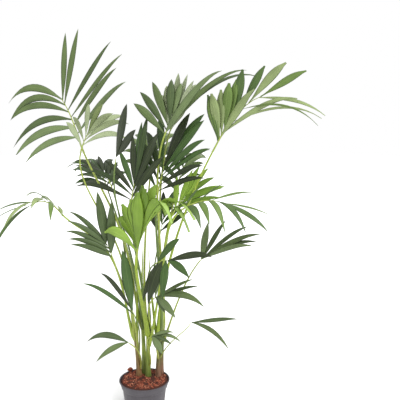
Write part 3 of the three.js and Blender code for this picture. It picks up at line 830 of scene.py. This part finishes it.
def blended(tree, pattern, span, low, high):
    """Two tones, between which a pattern chooses."""
    share = add(tree, "ShaderNodeMapRange", {"Value": pattern, **dict(zip(SPAN, span))})
    return add(tree, "ShaderNodeMix", {"Factor": share[0], "A": low, "B": high},
               data_type="RGBA")["Result"]


def moulded_plastic(name, colour, dust):
    # Polypropylene from a matt mould: a dull sheen, a fine grain and a trace of nursery dust.
    material, tree, place = new_finish(name)
    grain = add(tree, "ShaderNodeTexNoise",
                {"Vector": place, "Scale": 1 / (GRAIN * MM), "Detail": 3.0})
    clouds = add(tree, "ShaderNodeTexNoise", {
        "Vector": place, "Scale": 1 / (DUST_CLOUD * MM), "Detail": 5.0, "Roughness": 0.65})
    streaks = add(tree, "ShaderNodeMapping", {"Vector": place, "Scale": (1, 1, SCUFF_STRETCH)})
    scuffs = add(tree, "ShaderNodeTexNoise",
                 {"Vector": streaks[0], "Scale": 1 / (SCUFF * MM), "Detail": 4.0})
    tone = blended(tree, clouds["Fac"], DUSTY, linear(colour), linear(dust))
    rough = add(tree, "ShaderNodeMapRange", {"Value": scuffs["Fac"], **dict(zip(SPAN, SCUFFED))})
    return finished(material, tree, tone, relief=grain["Fac"], depth=0.2, strength=0.25,
                    Roughness=rough[0], IOR=1.49)


POT_PLASTIC = moulded_plastic("moulded_polypropylene", "#383439", "#4c484e")
print("the plastic's grain is drawn", GRAIN, "mm wide")


# %% Turned shapes
TURN_STEPS = 96


def turned(name, profile):
    """A closed profile of radius and height in mm, turned about the upright axis."""
    shape = bmesh.new()
    turns = [2 * math.pi * i / TURN_STEPS for i in range(TURN_STEPS)]
    rings = []
    for radius, height in profile:
        if radius == 0:
            rings.append([shape.verts.new((0, 0, height * MM))])
            continue
        rings.append([shape.verts.new((radius * MM * math.cos(a), radius * MM * math.sin(a),
                                       height * MM)) for a in turns])
    for low, high in zip(rings, rings[1:]):
        for i in range(TURN_STEPS):
            j = (i + 1) % TURN_STEPS
            corners = [low[i % len(low)], low[j % len(low)],
                       high[j % len(high)], high[i % len(high)]]
            shape.faces.new(list(dict.fromkeys(corners)))
    bmesh.ops.recalc_face_normals(shape, faces=shape.faces)
    made = from_bmesh(name, shape)
    made.data.shade_smooth()
    return made


print("a turned shape has", TURN_STEPS, "sides")

# %% Pot
COLLAR_FOOT = POT_HEIGHT - COLLAR_HEIGHT
LIP_FOOT = POT_HEIGHT - LIP
RECESS = 1.5  # mm: the pot stands on a ring round a shallow recess
RING_WIDTH, RING_SLOPE = 6, 2  # mm
ROUNDING = 1.1  # mm
ROUNDING_STEPS = 3
SHARP = 25  # degrees: corners over this are rounded


def body_inside(height):
    """The radius inside the body's wall, at a height under the collar."""
    return mix(FOOT_RADIUS, BODY_TOP_RADIUS, height / COLLAR_FOOT) - WALL


collar_inside = COLLAR_TOP_RADIUS - WALL
pot = turned("pot_shell", [
    (0, RECESS), (FOOT_RADIUS - RING_WIDTH - RING_SLOPE, RECESS), (FOOT_RADIUS - RING_WIDTH, 0),
    (FOOT_RADIUS, 0), (BODY_TOP_RADIUS, COLLAR_FOOT),
    (COLLAR_FOOT_RADIUS, COLLAR_FOOT + COLLAR_STEP), (COLLAR_TOP_RADIUS, LIP_FOOT),
    (RIM_RADIUS, LIP_FOOT), (RIM_RADIUS, POT_HEIGHT), (collar_inside, POT_HEIGHT),
    (collar_inside, LIP_FOOT), (COLLAR_FOOT_RADIUS - WALL, COLLAR_FOOT + COLLAR_STEP),
    (body_inside(COLLAR_FOOT), COLLAR_FOOT),
    (body_inside(FLOOR_THICKNESS), FLOOR_THICKNESS), (0, FLOOR_THICKNESS),
])
bevel = pot.modifiers.new("rounded_edges", "BEVEL")
bevel.width = ROUNDING * MM
bevel.segments = ROUNDING_STEPS
bevel.limit_method = "ANGLE"
bevel.angle_limit = math.radians(SHARP)
bevel.harden_normals = True
plain(pot)
pot.data.materials.append(POT_PLASTIC)
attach(pot, "root")
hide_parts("pot")
print("the pot has", len(pot.data.polygons), "faces")

# %% [markdown]
# ## Bark
#
# The pot is filled to the rim with chipped pine bark. A bumpy disc would look like soil: the real
# surface is a heap of separate flat chips, most of them 5 to 20 mm long, in red-brown,
# orange-brown and dark weathered pieces. Modelling each by hand isn't needed. A few broken shapes
# are made as convex lumps, which have few faces and sharp arrises, and a second Geometry Nodes
# tree scatters them over the bed.

# %% Pine bark
PLATE = 5  # mm, from crevice to crevice
PLATED = (0.35, 0.6, 0.0, 1.0)  # plates to the share of their own colour


def pine_bark(name, colour, crevice):
    # Pine bark is dry and corky, so it has no shine, and dark crevices part its thin plates.
    material, tree, place = new_finish(name)
    plates = add(tree, "ShaderNodeTexNoise", {
        "Vector": place, "Scale": 1 / (PLATE * MM), "Detail": 6.0, "Roughness": 0.7})
    tone = blended(tree, plates["Fac"], PLATED, linear(crevice), linear(colour))
    return finished(material, tree, tone, relief=plates["Fac"], depth=1, strength=0.8,
                    Roughness=0.92, Specular_IOR_Level=0.2)


BARK = {
    "red": pine_bark("pine_bark_red_brown", "#8c4a36", "#431f16"),
    "orange": pine_bark("pine_bark_orange_brown", "#c1866a", "#743f2b"),
    "dark": pine_bark("pine_bark_weathered", "#4c2a21", "#22120e"),
}
print("the bark has", len(BARK), "colours")

# %% Bed under the chips
CLEAR = 1  # mm, between the bed and the pot
SUNK = dict(edge=3, shoulder=4, top=2)  # mm that the bed lies under the bark's surface

bed = turned("bark_bed", [
    (0, FLOOR_THICKNESS + CLEAR), (body_inside(FLOOR_THICKNESS) - CLEAR, FLOOR_THICKNESS + CLEAR),
    (body_inside(COLLAR_FOOT) - CLEAR, COLLAR_FOOT),
    (COLLAR_FOOT_RADIUS - WALL - CLEAR, COLLAR_FOOT + COLLAR_STEP),
    (collar_inside - CLEAR, BARK_EDGE - SUNK["edge"]), (HEAP_RADIUS, BARK_TOP - SUNK["shoulder"]),
    (HEAP_RADIUS / 2, BARK_TOP - SUNK["top"]), (0, BARK_TOP - SUNK["top"]),
])
bed.data.materials.append(BARK["dark"])
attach(bed, "root")
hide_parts("bark_fill")
print("the bark bed has", len(bed.data.polygons), "faces")


# %% Broken chips
CORNERS = 14
LEAST_CORNER = 0.8  # share of its full distance at which a lump's corner may stand


def lump(name, half_size, seed, corners=CORNERS):
    """A broken, convex lump with sharp arrises, of half_size in mm along its three axes."""
    dice = random.Random(seed)
    shape = bmesh.new()
    for _ in range(corners):
        way = Vector([dice.gauss(0, 1) for _ in range(3)]).normalized()
        shape.verts.new([w * h * MM * dice.uniform(LEAST_CORNER, 1)
                         for w, h in zip(way, half_size)])
    hull = bmesh.ops.convex_hull(shape, input=shape.verts)
    inside = [g for g in hull["geom_interior"] if isinstance(g, bmesh.types.BMVert)]
    bmesh.ops.delete(shape, geom=inside, context="VERTS")
    bmesh.ops.recalc_face_normals(shape, faces=shape.faces)
    return from_bmesh(name, shape)


# Each kind of chip: its bark, half its size in mm, how many to a square metre, and its seed.
CHIPS = (
    ("red", (9, 5.5, 3), 9000, 1), ("red", (6.5, 4.5, 2.5), 12000, 2),
    ("dark", (8, 5, 3), 6000, 3), ("orange", (7, 4, 2), 6000, 4),
    ("orange", (4.5, 3, 2), 9000, 5), ("dark", (5, 4, 3), 6000, 6),
)
chip_shapes = [lump(f"chip_{place}", size, seed)
               for place, (_, size, _, seed) in enumerate(CHIPS)]
helpers = list(chip_shapes)
print("the chips have", [len(shape.data.polygons) for shape in chip_shapes], "faces each")


# %% The scattering tree
def scatter_tree():
    """The tree that strews chips over the bed."""
    tree, given = new_tree("scatter_chips", (
        ("Bed", "Geometry"), ("Chip", "Object"), ("Chips per Square Metre", "Float"),
        ("Smallest", "Float"), ("Largest", "Float"), ("Tilt", "Float"), ("Seed", "Int"),
        ("Material", "Material")))
    spots = add(tree, "GeometryNodeDistributePointsOnFaces", {
        "Mesh": given["Bed"], "Density": given["Chips per Square Metre"],
        "Seed": given["Seed"]})
    size = add(tree, "FunctionNodeRandomValue", {
        2: given["Smallest"], 3: given["Largest"], "Seed": given["Seed"]}, data_type="FLOAT")
    back = add(tree, "ShaderNodeMath", {0: given["Tilt"], 1: -1.0}, operation="MULTIPLY")
    low = add(tree, "ShaderNodeCombineXYZ", {"X": back[0], "Y": back[0], "Z": 0.0})
    high = add(tree, "ShaderNodeCombineXYZ",
               {"X": given["Tilt"], "Y": given["Tilt"], "Z": 2 * math.pi})
    turn = add(tree, "FunctionNodeRandomValue", {0: low[0], 1: high[0], "Seed": given["Seed"]},
               data_type="FLOAT_VECTOR")
    turn = add(tree, "FunctionNodeEulerToRotation", {"Euler": turn[0]})
    chip = add(tree, "GeometryNodeObjectInfo", {"Object": given["Chip"]})
    laid = add(tree, "GeometryNodeInstanceOnPoints", {
        "Points": spots["Points"], "Instance": chip["Geometry"], "Rotation": turn[0],
        "Scale": size[1]})
    result = add(tree, "GeometryNodeRealizeInstances", {"Geometry": laid[0]})
    result = add(tree, "GeometryNodeSetMaterial",
                 {"Geometry": result[0], "Material": given["Material"]})
    add(tree, "NodeGroupOutput", {"Geometry": result[0]})
    return tree


SCATTER = scatter_tree()
print("the scattering tree has", len(SCATTER.nodes), "nodes")


# %% The uneven top of the heap
CHIP_REACH = 105  # mm from the middle, so that no chip pokes through the collar
HEAP_CELLS = 30
HEAP_SUNK = 3  # mm that the chips' middles lie under the bark's surface
HEAP_RELIEF = 6  # mm, up and down
HEAP_HUMP = 28  # mm from hump to hump


def bed_top(name):
    """The open, uneven upper face of the bed, on which the chips lie."""
    shape = bmesh.new()
    bmesh.ops.create_grid(shape, x_segments=HEAP_CELLS, y_segments=HEAP_CELLS,
                          size=CHIP_REACH * MM)
    outside = [v for v in shape.verts if v.co.length > CHIP_REACH * MM]
    bmesh.ops.delete(shape, geom=outside, context="VERTS")
    for vertex in shape.verts:
        hump = HEAP_RELIEF * noise.noise(vertex.co / (HEAP_HUMP * MM))
        vertex.co.z = (BARK_TOP - HEAP_SUNK + hump) * MM
    return from_bmesh(name, shape)


print("the chips' middles lie up to", CHIP_REACH, "mm from the pot's axis")

# %% Chips over the bed
CHIP_SCALE = (0.65, 1.15)
CHIP_TILT = 0.55  # radians, either way


def joined(name, parts):
    """Several objects as one, with their materials kept."""
    shape = bmesh.new()
    materials = []
    for part in parts:
        for material in part.data.materials:
            if material not in materials:
                materials.append(material)
        first = len(shape.faces)
        shape.from_mesh(part.data)
        shape.faces.ensure_lookup_table()
        order = [materials.index(m) for m in part.data.materials]
        for face in shape.faces[first:]:
            face.material_index = order[face.material_index]
    made = from_bmesh(name, shape)
    for material in materials:
        made.data.materials.append(material)
    for part in parts:
        bpy.data.objects.remove(part)
    return made


layers = []
for place, (tone, _, density, seed) in enumerate(CHIPS):
    layers.append(run_tree(bed_top(f"chips_{place}"), SCATTER, {
        "Chip": chip_shapes[place], "Chips per Square Metre": float(density),
        "Smallest": CHIP_SCALE[0], "Largest": CHIP_SCALE[1], "Tilt": CHIP_TILT, "Seed": seed,
        "Material": BARK[tone]}))
chunk = lump("bark_chunk", [CHUNK["radius"] * k for k in CHUNK["stretch"]], CHUNK["seed"],
             CHUNK["corners"])
for vertex in chunk.data.vertices:
    vertex.co += Vector(CHUNK["at"]) * MM
chunk.data.materials.append(BARK["red"])
chips = joined("bark_chips", layers + [chunk])
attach(chips, "root")
print("the bark chips have", len(chips.data.polygons), "faces")

# %% [markdown]
# ## Stems and stalks
#
# A young kentia has no wooden trunk yet. Its stem is a bundle of leaf sheaths, one wrapped round
# the next, brown and fibrous at the ground and green where they are fresh. Out of it come the
# stalks, which are smooth, slightly grooved on their upper side, and yellow-green. A stalk is
# swollen near its foot, where it clasps the next one. In the middle of each stem stands its
# youngest leaf, a spear that is still shut. All of them are swept: the sections have the folds
# and the groove as real geometry, and the materials only add the fibres, which run along the
# stalk.

# %% Sheath and stalk skins
FIBRE_STRETCH = 0.06  # squeezes the pattern's height, so that it draws the fibres out upwards
RAGGED = 60  # mm: how far the line between dry and fresh wanders up and down
STREAKED = (0.4, 0.62, 0.0)  # fibres to a share of the streaks' colour, up to their strength


def fibrous(name, dry, fresh, dry_under, fresh_over, fibre, roughness, streak, contrast):
    # Fresh sheath is waxy and half shiny. It dries from the ground up to a dull brown, so the
    # colour follows the height in mm. Its fibres are a few tenths of a mm wide, which is too fine
    # to show here, so they are drawn ten times as wide.
    material, tree, place = new_finish(name)
    height = add(tree, "ShaderNodeSeparateXYZ", {"Vector": place})["Z"]
    stretched = add(tree, "ShaderNodeMapping", {"Vector": place, "Scale": (1, 1, FIBRE_STRETCH)})
    fibres = add(tree, "ShaderNodeTexNoise", {
        "Vector": stretched[0], "Scale": 1 / (fibre * MM), "Detail": 4.0, "Roughness": 0.6})
    ragged = add(tree, "ShaderNodeMath",
                 {0: fibres["Fac"], 1: RAGGED * MM, 2: -RAGGED / 2 * MM},
                 operation="MULTIPLY_ADD")
    ragged = add(tree, "ShaderNodeMath", {0: height, 1: ragged[0]}, operation="ADD")
    tone = blended(tree, ragged[0], (dry_under * MM, fresh_over * MM, 0.0, 1.0), linear(dry),
                   linear(fresh))
    tone = blended(tree, fibres["Fac"], (*STREAKED, contrast), tone, linear(streak))
    return finished(material, tree, tone, relief=fibres["Fac"], depth=0.5, strength=0.5,
                    Roughness=roughness, Specular_IOR_Level=0.35)


# For each skin: its dry and its fresh colour, the heights in mm under and over which it is all dry
# and all fresh, its fibres' width in mm, its roughness, and its streaks' colour and strength.
sheath_skins = [fibrous(*row) for row in (
    ("fibrous_leaf_sheath", "#7d5f3c", "#84803c", 230, 400, 4.0, 0.62, "#49351f", 0.75),
    ("fresh_leaf_sheath", "#56602a", "#92a43c", 215, 320, 4.0, 0.45, "#4c5e24", 0.75),
    ("weathered_leaf_sheath", "#76543f", "#5a6b2e", 235, 330, 3.6, 0.7, "#38281a", 0.75),
)]
stalk_skins = [fibrous(*row) for row in (
    ("waxy_stalk_skin", "#95923f", "#93a046", 250, 480, 3.0, 0.45, "#66762c", 0.7),
    ("fresh_stalk_skin", "#97a03a", "#90a338", 260, 420, 3.4, 0.42, "#6b8026", 0.7),
    ("shaded_stalk_skin", "#79733a", "#62753a", 260, 520, 3.0, 0.5, "#3f5427", 0.7),
)]
print("the skins are", [skin.name for skin in sheath_skins + stalk_skins])


# %% Sections of stems, stalks and ribs
GROOVE_POWER = 6  # the higher, the narrower the groove


def folded_ring(folds, depth, points, groove=0.0):
    """A round section with shallow folds, and a groove on its upper side."""
    ring = []
    for i in range(points):
        turn = 2 * math.pi * i / points
        cut = groove * max(0, math.sin(turn)) ** GROOVE_POWER
        radius = 1 + depth * math.cos(folds * turn) - cut
        ring.append((radius * math.cos(turn), radius * math.sin(turn)))
    return ring


SHEATH_SECTION = section("sheath_section", folded_ring(folds=4, depth=0.15, points=36))
STALK_SECTION = section("stalk_section",
                        folded_ring(folds=3, depth=0.05, points=18, groove=0.4))
RIB_SECTION = section("rib_section", folded_ring(folds=3, depth=0.06, points=8))
helpers += [SHEATH_SECTION, STALK_SECTION, RIB_SECTION]
print("a stalk's section has", len(STALK_SECTION.data.vertices), "points")


# %% Lines along limbs
BACKWARDS = Vector((0, 1, 0))  # away from the camera


def square_to(way, ahead):
    """The part of a way that is square to the path."""
    return (way - ahead * way.dot(ahead)).normalized()


def swept_line(steps, shade, place_at):
    """A line in mm. place_at gives a point, the way of its edge and its half width at a share."""
    points, edges, halves = zip(*(place_at(step / steps) for step in range(steps + 1)))
    return dict(points=points, edges=edges, halves=halves, shade=shade)


def limb_line(path, radius_at, steps, guide, shade=0):
    """The line of a limb, whose radius at a share of its length radius_at gives."""
    return swept_line(steps, shade, lambda share: (
        path.at(share), square_to(guide, path.ahead(share)), radius_at(share)))


print("square to up, a slanted way lies level:", tuple(square_to(Vector((1, 0, 1)), UP)))

# %% Stems
STEM_STEPS = 12
# Which of the sheath skins each stem has.
STEM_SHADES = {"left_front": 0, "left_back": 1, "middle": 1, "right_front": 2, "right_back": 2}


def sheath_radius(stem):
    foot, top = stem["radius"]
    return lambda share: mix(foot * FLARE, top, math.sqrt(min(1, share / FLARE_SHARE)))


stem_lines = [limb_line(stem_path(stem), sheath_radius(stem), STEM_STEPS, BACKWARDS,
                        STEM_SHADES[name]) for name, stem in STEMS.items()]
stems = sweep("sheath_stems", stem_lines, SHEATH_SECTION, *sheath_skins)
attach(stems, "root")
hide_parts(*[f"stem_{name}" for name in STEMS])

# %% Lines of stalks
STALK_STEPS = 28
# Which of the stalk skins a frond of each tint has.
STALK_SHADES = {"pale": 0, "mature": 0, "mid": 1, "young": 1, "dark": 2}
# A stalk starts narrow against its stem, swells where it clasps the next one, and runs on plain.
CLASP_SHARE = 0.22  # of a stalk's length
CLASP_SWELL = 0.2  # of the plain radius
STALK_FOOT = 0.45  # width of a stalk's very foot, as a share of the plain radius
FOOT_SHARE = 0.035  # of a stalk's length, over which it reaches its full width


def clasp(share):
    """How much wider a stalk is than its plain taper, at a share of its length."""
    swell = CLASP_SWELL * math.sin(math.pi * math.sqrt(min(1, share / CLASP_SHARE)))
    return (1 + swell) * mix(STALK_FOOT, 1, min(1, share / FOOT_SHARE))


def stalk_line(name):
    """The groove faces up, so the section's edge faces the left of the way that the frond goes."""
    frond = FRONDS[name]
    foot, top = frond["stalk"]
    level = Vector((math.cos(heading(name)), math.sin(heading(name)), 0))
    return limb_line(stalks[name],
                     lambda share: mix(foot, top, share ** STALK_TAPER) * clasp(share),
                     STALK_STEPS, -level.cross(UP), STALK_SHADES[frond["tint"]])


print("a stalk is narrowed to", round(clasp(0), 2), "at its foot and swells to",
      round(max(clasp(step / STALK_STEPS) for step in range(STALK_STEPS)), 2), "over it")

# %% Lines of spears
# A spear stands in the bundle, clear of the stalks but for its foot. For each: where it leaves its
# stem as a share of the stem's height, a point that pulls it on its way, and its tip.
SPEARS = {
    "left_front": (0.7, (-31, 36, 578), (-29, 43, 800)),
    "left_back": (0.7, (-18, 70, 618), (0, 57, 860)),
    "middle": (0.45, (60, -15, 507), (98, -47, 820)),
    "right_front": (0.6, (36, 30, 545), (24, 49, 840)),
    "right_back": (0.7, (67, 19, 581), (74, -3, 880)),
}
SPEAR_STEPS = 20
SPEAR_RADIUS = (7.5, 0.8)
SPEAR_TAPER = 1.9  # a power: spears stay thick at first and run out to a point


def spear_line(stem):
    share_up, middle, tip = SPEARS[stem]
    path = Path([stem_path(STEMS[stem]).at(share_up), middle, tip])
    return limb_line(path, lambda share: mix(*SPEAR_RADIUS, share ** SPEAR_TAPER) * clasp(share),
                     SPEAR_STEPS, BACKWARDS, STALK_SHADES["young"])


print("the spears' tips are", [tip[2] for _, _, tip in SPEARS.values()], "mm over the floor")

# %% Stalks
stalk_lines = [stalk_line(name) for name in FRONDS] + [spear_line(stem) for stem in SPEARS]
leaf_stalks = sweep("leaf_stalks", stalk_lines, STALK_SECTION, *stalk_skins)
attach(leaf_stalks, "root")
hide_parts(*[f"stalk_{name}" for name in FRONDS])

# %% [markdown]
# ## Leaflets
#
# A leaflet is a thin blade with a raised middle vein and two lesser ones beside it, so a cut
# across it looks like a low, pleated roof. It leaves the rib narrow, is widest before its middle
# and runs out to a point. Flat cards with a picture of a leaf on them are the usual short cut,
# but seen close they are flat. Here the pleats are in the section, and the blade is closed, with
# an underside of its own, because a palm leaf is dark and waxy above and pale below. The solids'
# rule gives each path, and a slight sway and turn towards the tip make it livelier.

# %% Leaf skins
VEINS = 7  # pairs of fine veins over a blade: far fewer than real, so that they can be seen
MOTTLE = 70  # mm
MIDRIB = (0.02, 0.12, 0.4, 0.0)  # distance from the middle to paleness
FINE_VEINS = (0.2, 1.0, 0.0, 0.22)  # a wave over the blade to paleness
MOTTLED = (0.3, 0.7, 0.85, 1.15)  # clouds to brightness


def leaf_skin(name, colour, vein, roughness, gloss):
    # The upper skin of a palm leaf is waxed: deep in colour, with a soft shine that breaks along
    # the veins. The underside has a thin pale scurf and hardly shines.
    material, tree, place = new_finish(name)
    across = add(tree, "ShaderNodeAttribute", attribute_name="across")["Fac"]
    clouds = add(tree, "ShaderNodeTexNoise",
                 {"Vector": place, "Scale": 1 / (MOTTLE * MM), "Detail": 3.0})
    wave = add(tree, "ShaderNodeMath", {0: across, 1: VEINS * math.pi}, operation="MULTIPLY")
    wave = add(tree, "ShaderNodeMath", {0: wave[0]}, operation="COSINE")
    middle = add(tree, "ShaderNodeMath", {0: across}, operation="ABSOLUTE")
    middle, fine, light = (
        add(tree, "ShaderNodeMapRange", {"Value": value, **dict(zip(SPAN, span))})[0]
        for value, span in ((middle[0], MIDRIB), (wave[0], FINE_VEINS), (clouds["Fac"], MOTTLED)))
    lines = add(tree, "ShaderNodeMath", {0: middle, 1: fine}, operation="MAXIMUM")
    tone = add(tree, "ShaderNodeMix", {
        "Factor": lines[0], "A": linear(colour), "B": linear(vein)}, data_type="RGBA")
    tone = add(tree, "ShaderNodeHueSaturation", {"Color": tone["Result"], "Value": light})
    return finished(material, tree, tone[0], relief=wave[0], depth=0.3, strength=0.35,
                    Roughness=roughness, Specular_IOR_Level=gloss)


print("a leaflet shows", VEINS, "pairs of fine veins")

# %% Leaf tints
# Each tint has three plain colours for the upper side, dealt out leaflet by leaflet, and one below.
LEAVES = {
    "dark": (("#2d3c20", "#374f26", "#262f1c"), "#5b664d"),
    "mature": (("#4e5e37", "#5d6d47", "#404f2f"), "#7c866d"),
    "mid": (("#5a7038", "#7c8b5c", "#445a2e"), "#8a9478"),
    "pale": (("#7e8a64", "#939f7b", "#667446"), "#9aa584"),
    # The young tint's bright yellow-green is partly the young leaves' own colour and partly painted
    # light. It stands in for the light that shines through these leaflets from behind, since the
    # skins let no light through.
    "young": (("#68852b", "#7a973b", "#577322"), "#87a057"),
}
VEIN_TONE = "#c4d082"  # a pale yellow-green
# How far the veins go to that tone, the roughness and the gloss, of both sides of a leaf.
UPPER = (0.25, 0.42, 0.25)
UNDER = (0.3, 0.65, 0.15)


def towards(hex_colour, goal, by):
    """A hex colour, moved by a share of the way to another."""
    values = zip(channels(hex_colour), channels(goal))
    return "#" + "".join(f"{round(mix(v, g, by)):02x}" for v, g in values)


def leaf_skins(tint):
    """Four finishes: three for the upper side and one for the underside."""
    uppers, below = LEAVES[tint]
    sides = [(f"waxy_{tint}_leaf_{i + 1}", colour, UPPER) for i, colour in enumerate(uppers)]
    sides.append((f"pale_under_{tint}_leaf", below, UNDER))
    return [leaf_skin(name, colour, towards(colour, VEIN_TONE, by), roughness, gloss)
            for name, colour, (by, roughness, gloss) in sides]


print("a leaflet has one of", sum(len(uppers) for uppers, _ in LEAVES.values()), "colours above")

# %% The leaflet's section
PLEATS = [(1, 0), (0.66, 0.17), (0.33, 0.12), (0, 0.24), (-0.33, 0.12), (-0.66, 0.17), (-1, 0)]
BLADE = 0.05  # thickness of the blade over its half width
LEAFLET_SECTION = section(
    "leaflet_section", PLEATS + [(x, y - BLADE) for x, y in reversed(PLEATS[1:-1])],
    under=[0.0] * len(PLEATS) + [1.0] * (len(PLEATS) - 2))
helpers.append(LEAFLET_SECTION)
print("a leaflet's section has", len(LEAFLET_SECTION.data.vertices), "points")


# %% Leaflet paths
LEAFLET_STEPS = 13
SHADES = 3  # how many upper colours are dealt out
SWAY = 0.03  # of the length, sideways at the tip
TIP_TURN = 22  # degrees
TIP_FALL = 0.04  # of the length: how far a thin tip hangs under the plain solid's
TIP_POWER = 6
# Each of these things has its own draw, after those of the rule.
SHADE_DRAW, SWAY_DRAW, TURN_DRAW = 7, 8, 9


def leaflet_line(plan):
    shade = math.floor(SHADES / 2 + vary(plan["pick"], SHADE_DRAW, SHADES / 2))
    sway = vary(plan["pick"], SWAY_DRAW, SWAY) * plan["long"]
    turn = math.radians(vary(plan["pick"], TURN_DRAW, TIP_TURN))

    def place_at(share):
        fall = DROOP_POWER * plan["droop"] * share ** (DROOP_POWER - 1)
        ahead = (plan["out"] - UP * fall).normalized()
        edge = square_to(plan["across"], ahead)
        hang = UP * plan["long"] * TIP_FALL * share ** TIP_POWER
        return (leaflet_centre(plan, share) + edge * sway * share * share - hang,
                Matrix.Rotation(turn * share * share, 3, ahead) @ edge,
                plan["width"] / 2 * outline(share, plan["peak"], plan["blunt"]))

    return swept_line(LEAFLET_STEPS, shade, place_at)


first = leaflet_line(leaflets["high_left"][0])
print("a leaflet's path has", len(first["points"]), "points")

# %% Fronds by tint
for tint in LEAVES:
    own = [name for name in FRONDS if FRONDS[name]["tint"] == tint]
    blades = sweep(f"leaflets_{tint}",
                   [leaflet_line(plan) for name in own for plan in leaflets[name]],
                   LEAFLET_SECTION, *leaf_skins(tint))
    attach(blades, "root")
    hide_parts(*[f"frond_{name}" for name in own])

# %% Ribs
RIB_STEPS = 8


def rib_line(name):
    frond = FRONDS[name]
    return limb_line(ribs[name], lambda share: frond["stalk"][1] * mix(*RIB_RADIUS, share),
                     RIB_STEPS, -frond_axes(frond, ribs[name], 0)[1])


rib_piece = sweep("frond_ribs", [rib_line(name) for name in FRONDS], RIB_SECTION, stalk_skins[0])
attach(rib_piece, "root")

# %% [markdown]
# ## Finish
#
# The sections and the loose chips were only tools, so they are removed.

# %% Finish
for helper in helpers:
    bpy.data.objects.remove(helper)
bpy.context.view_layer.update()
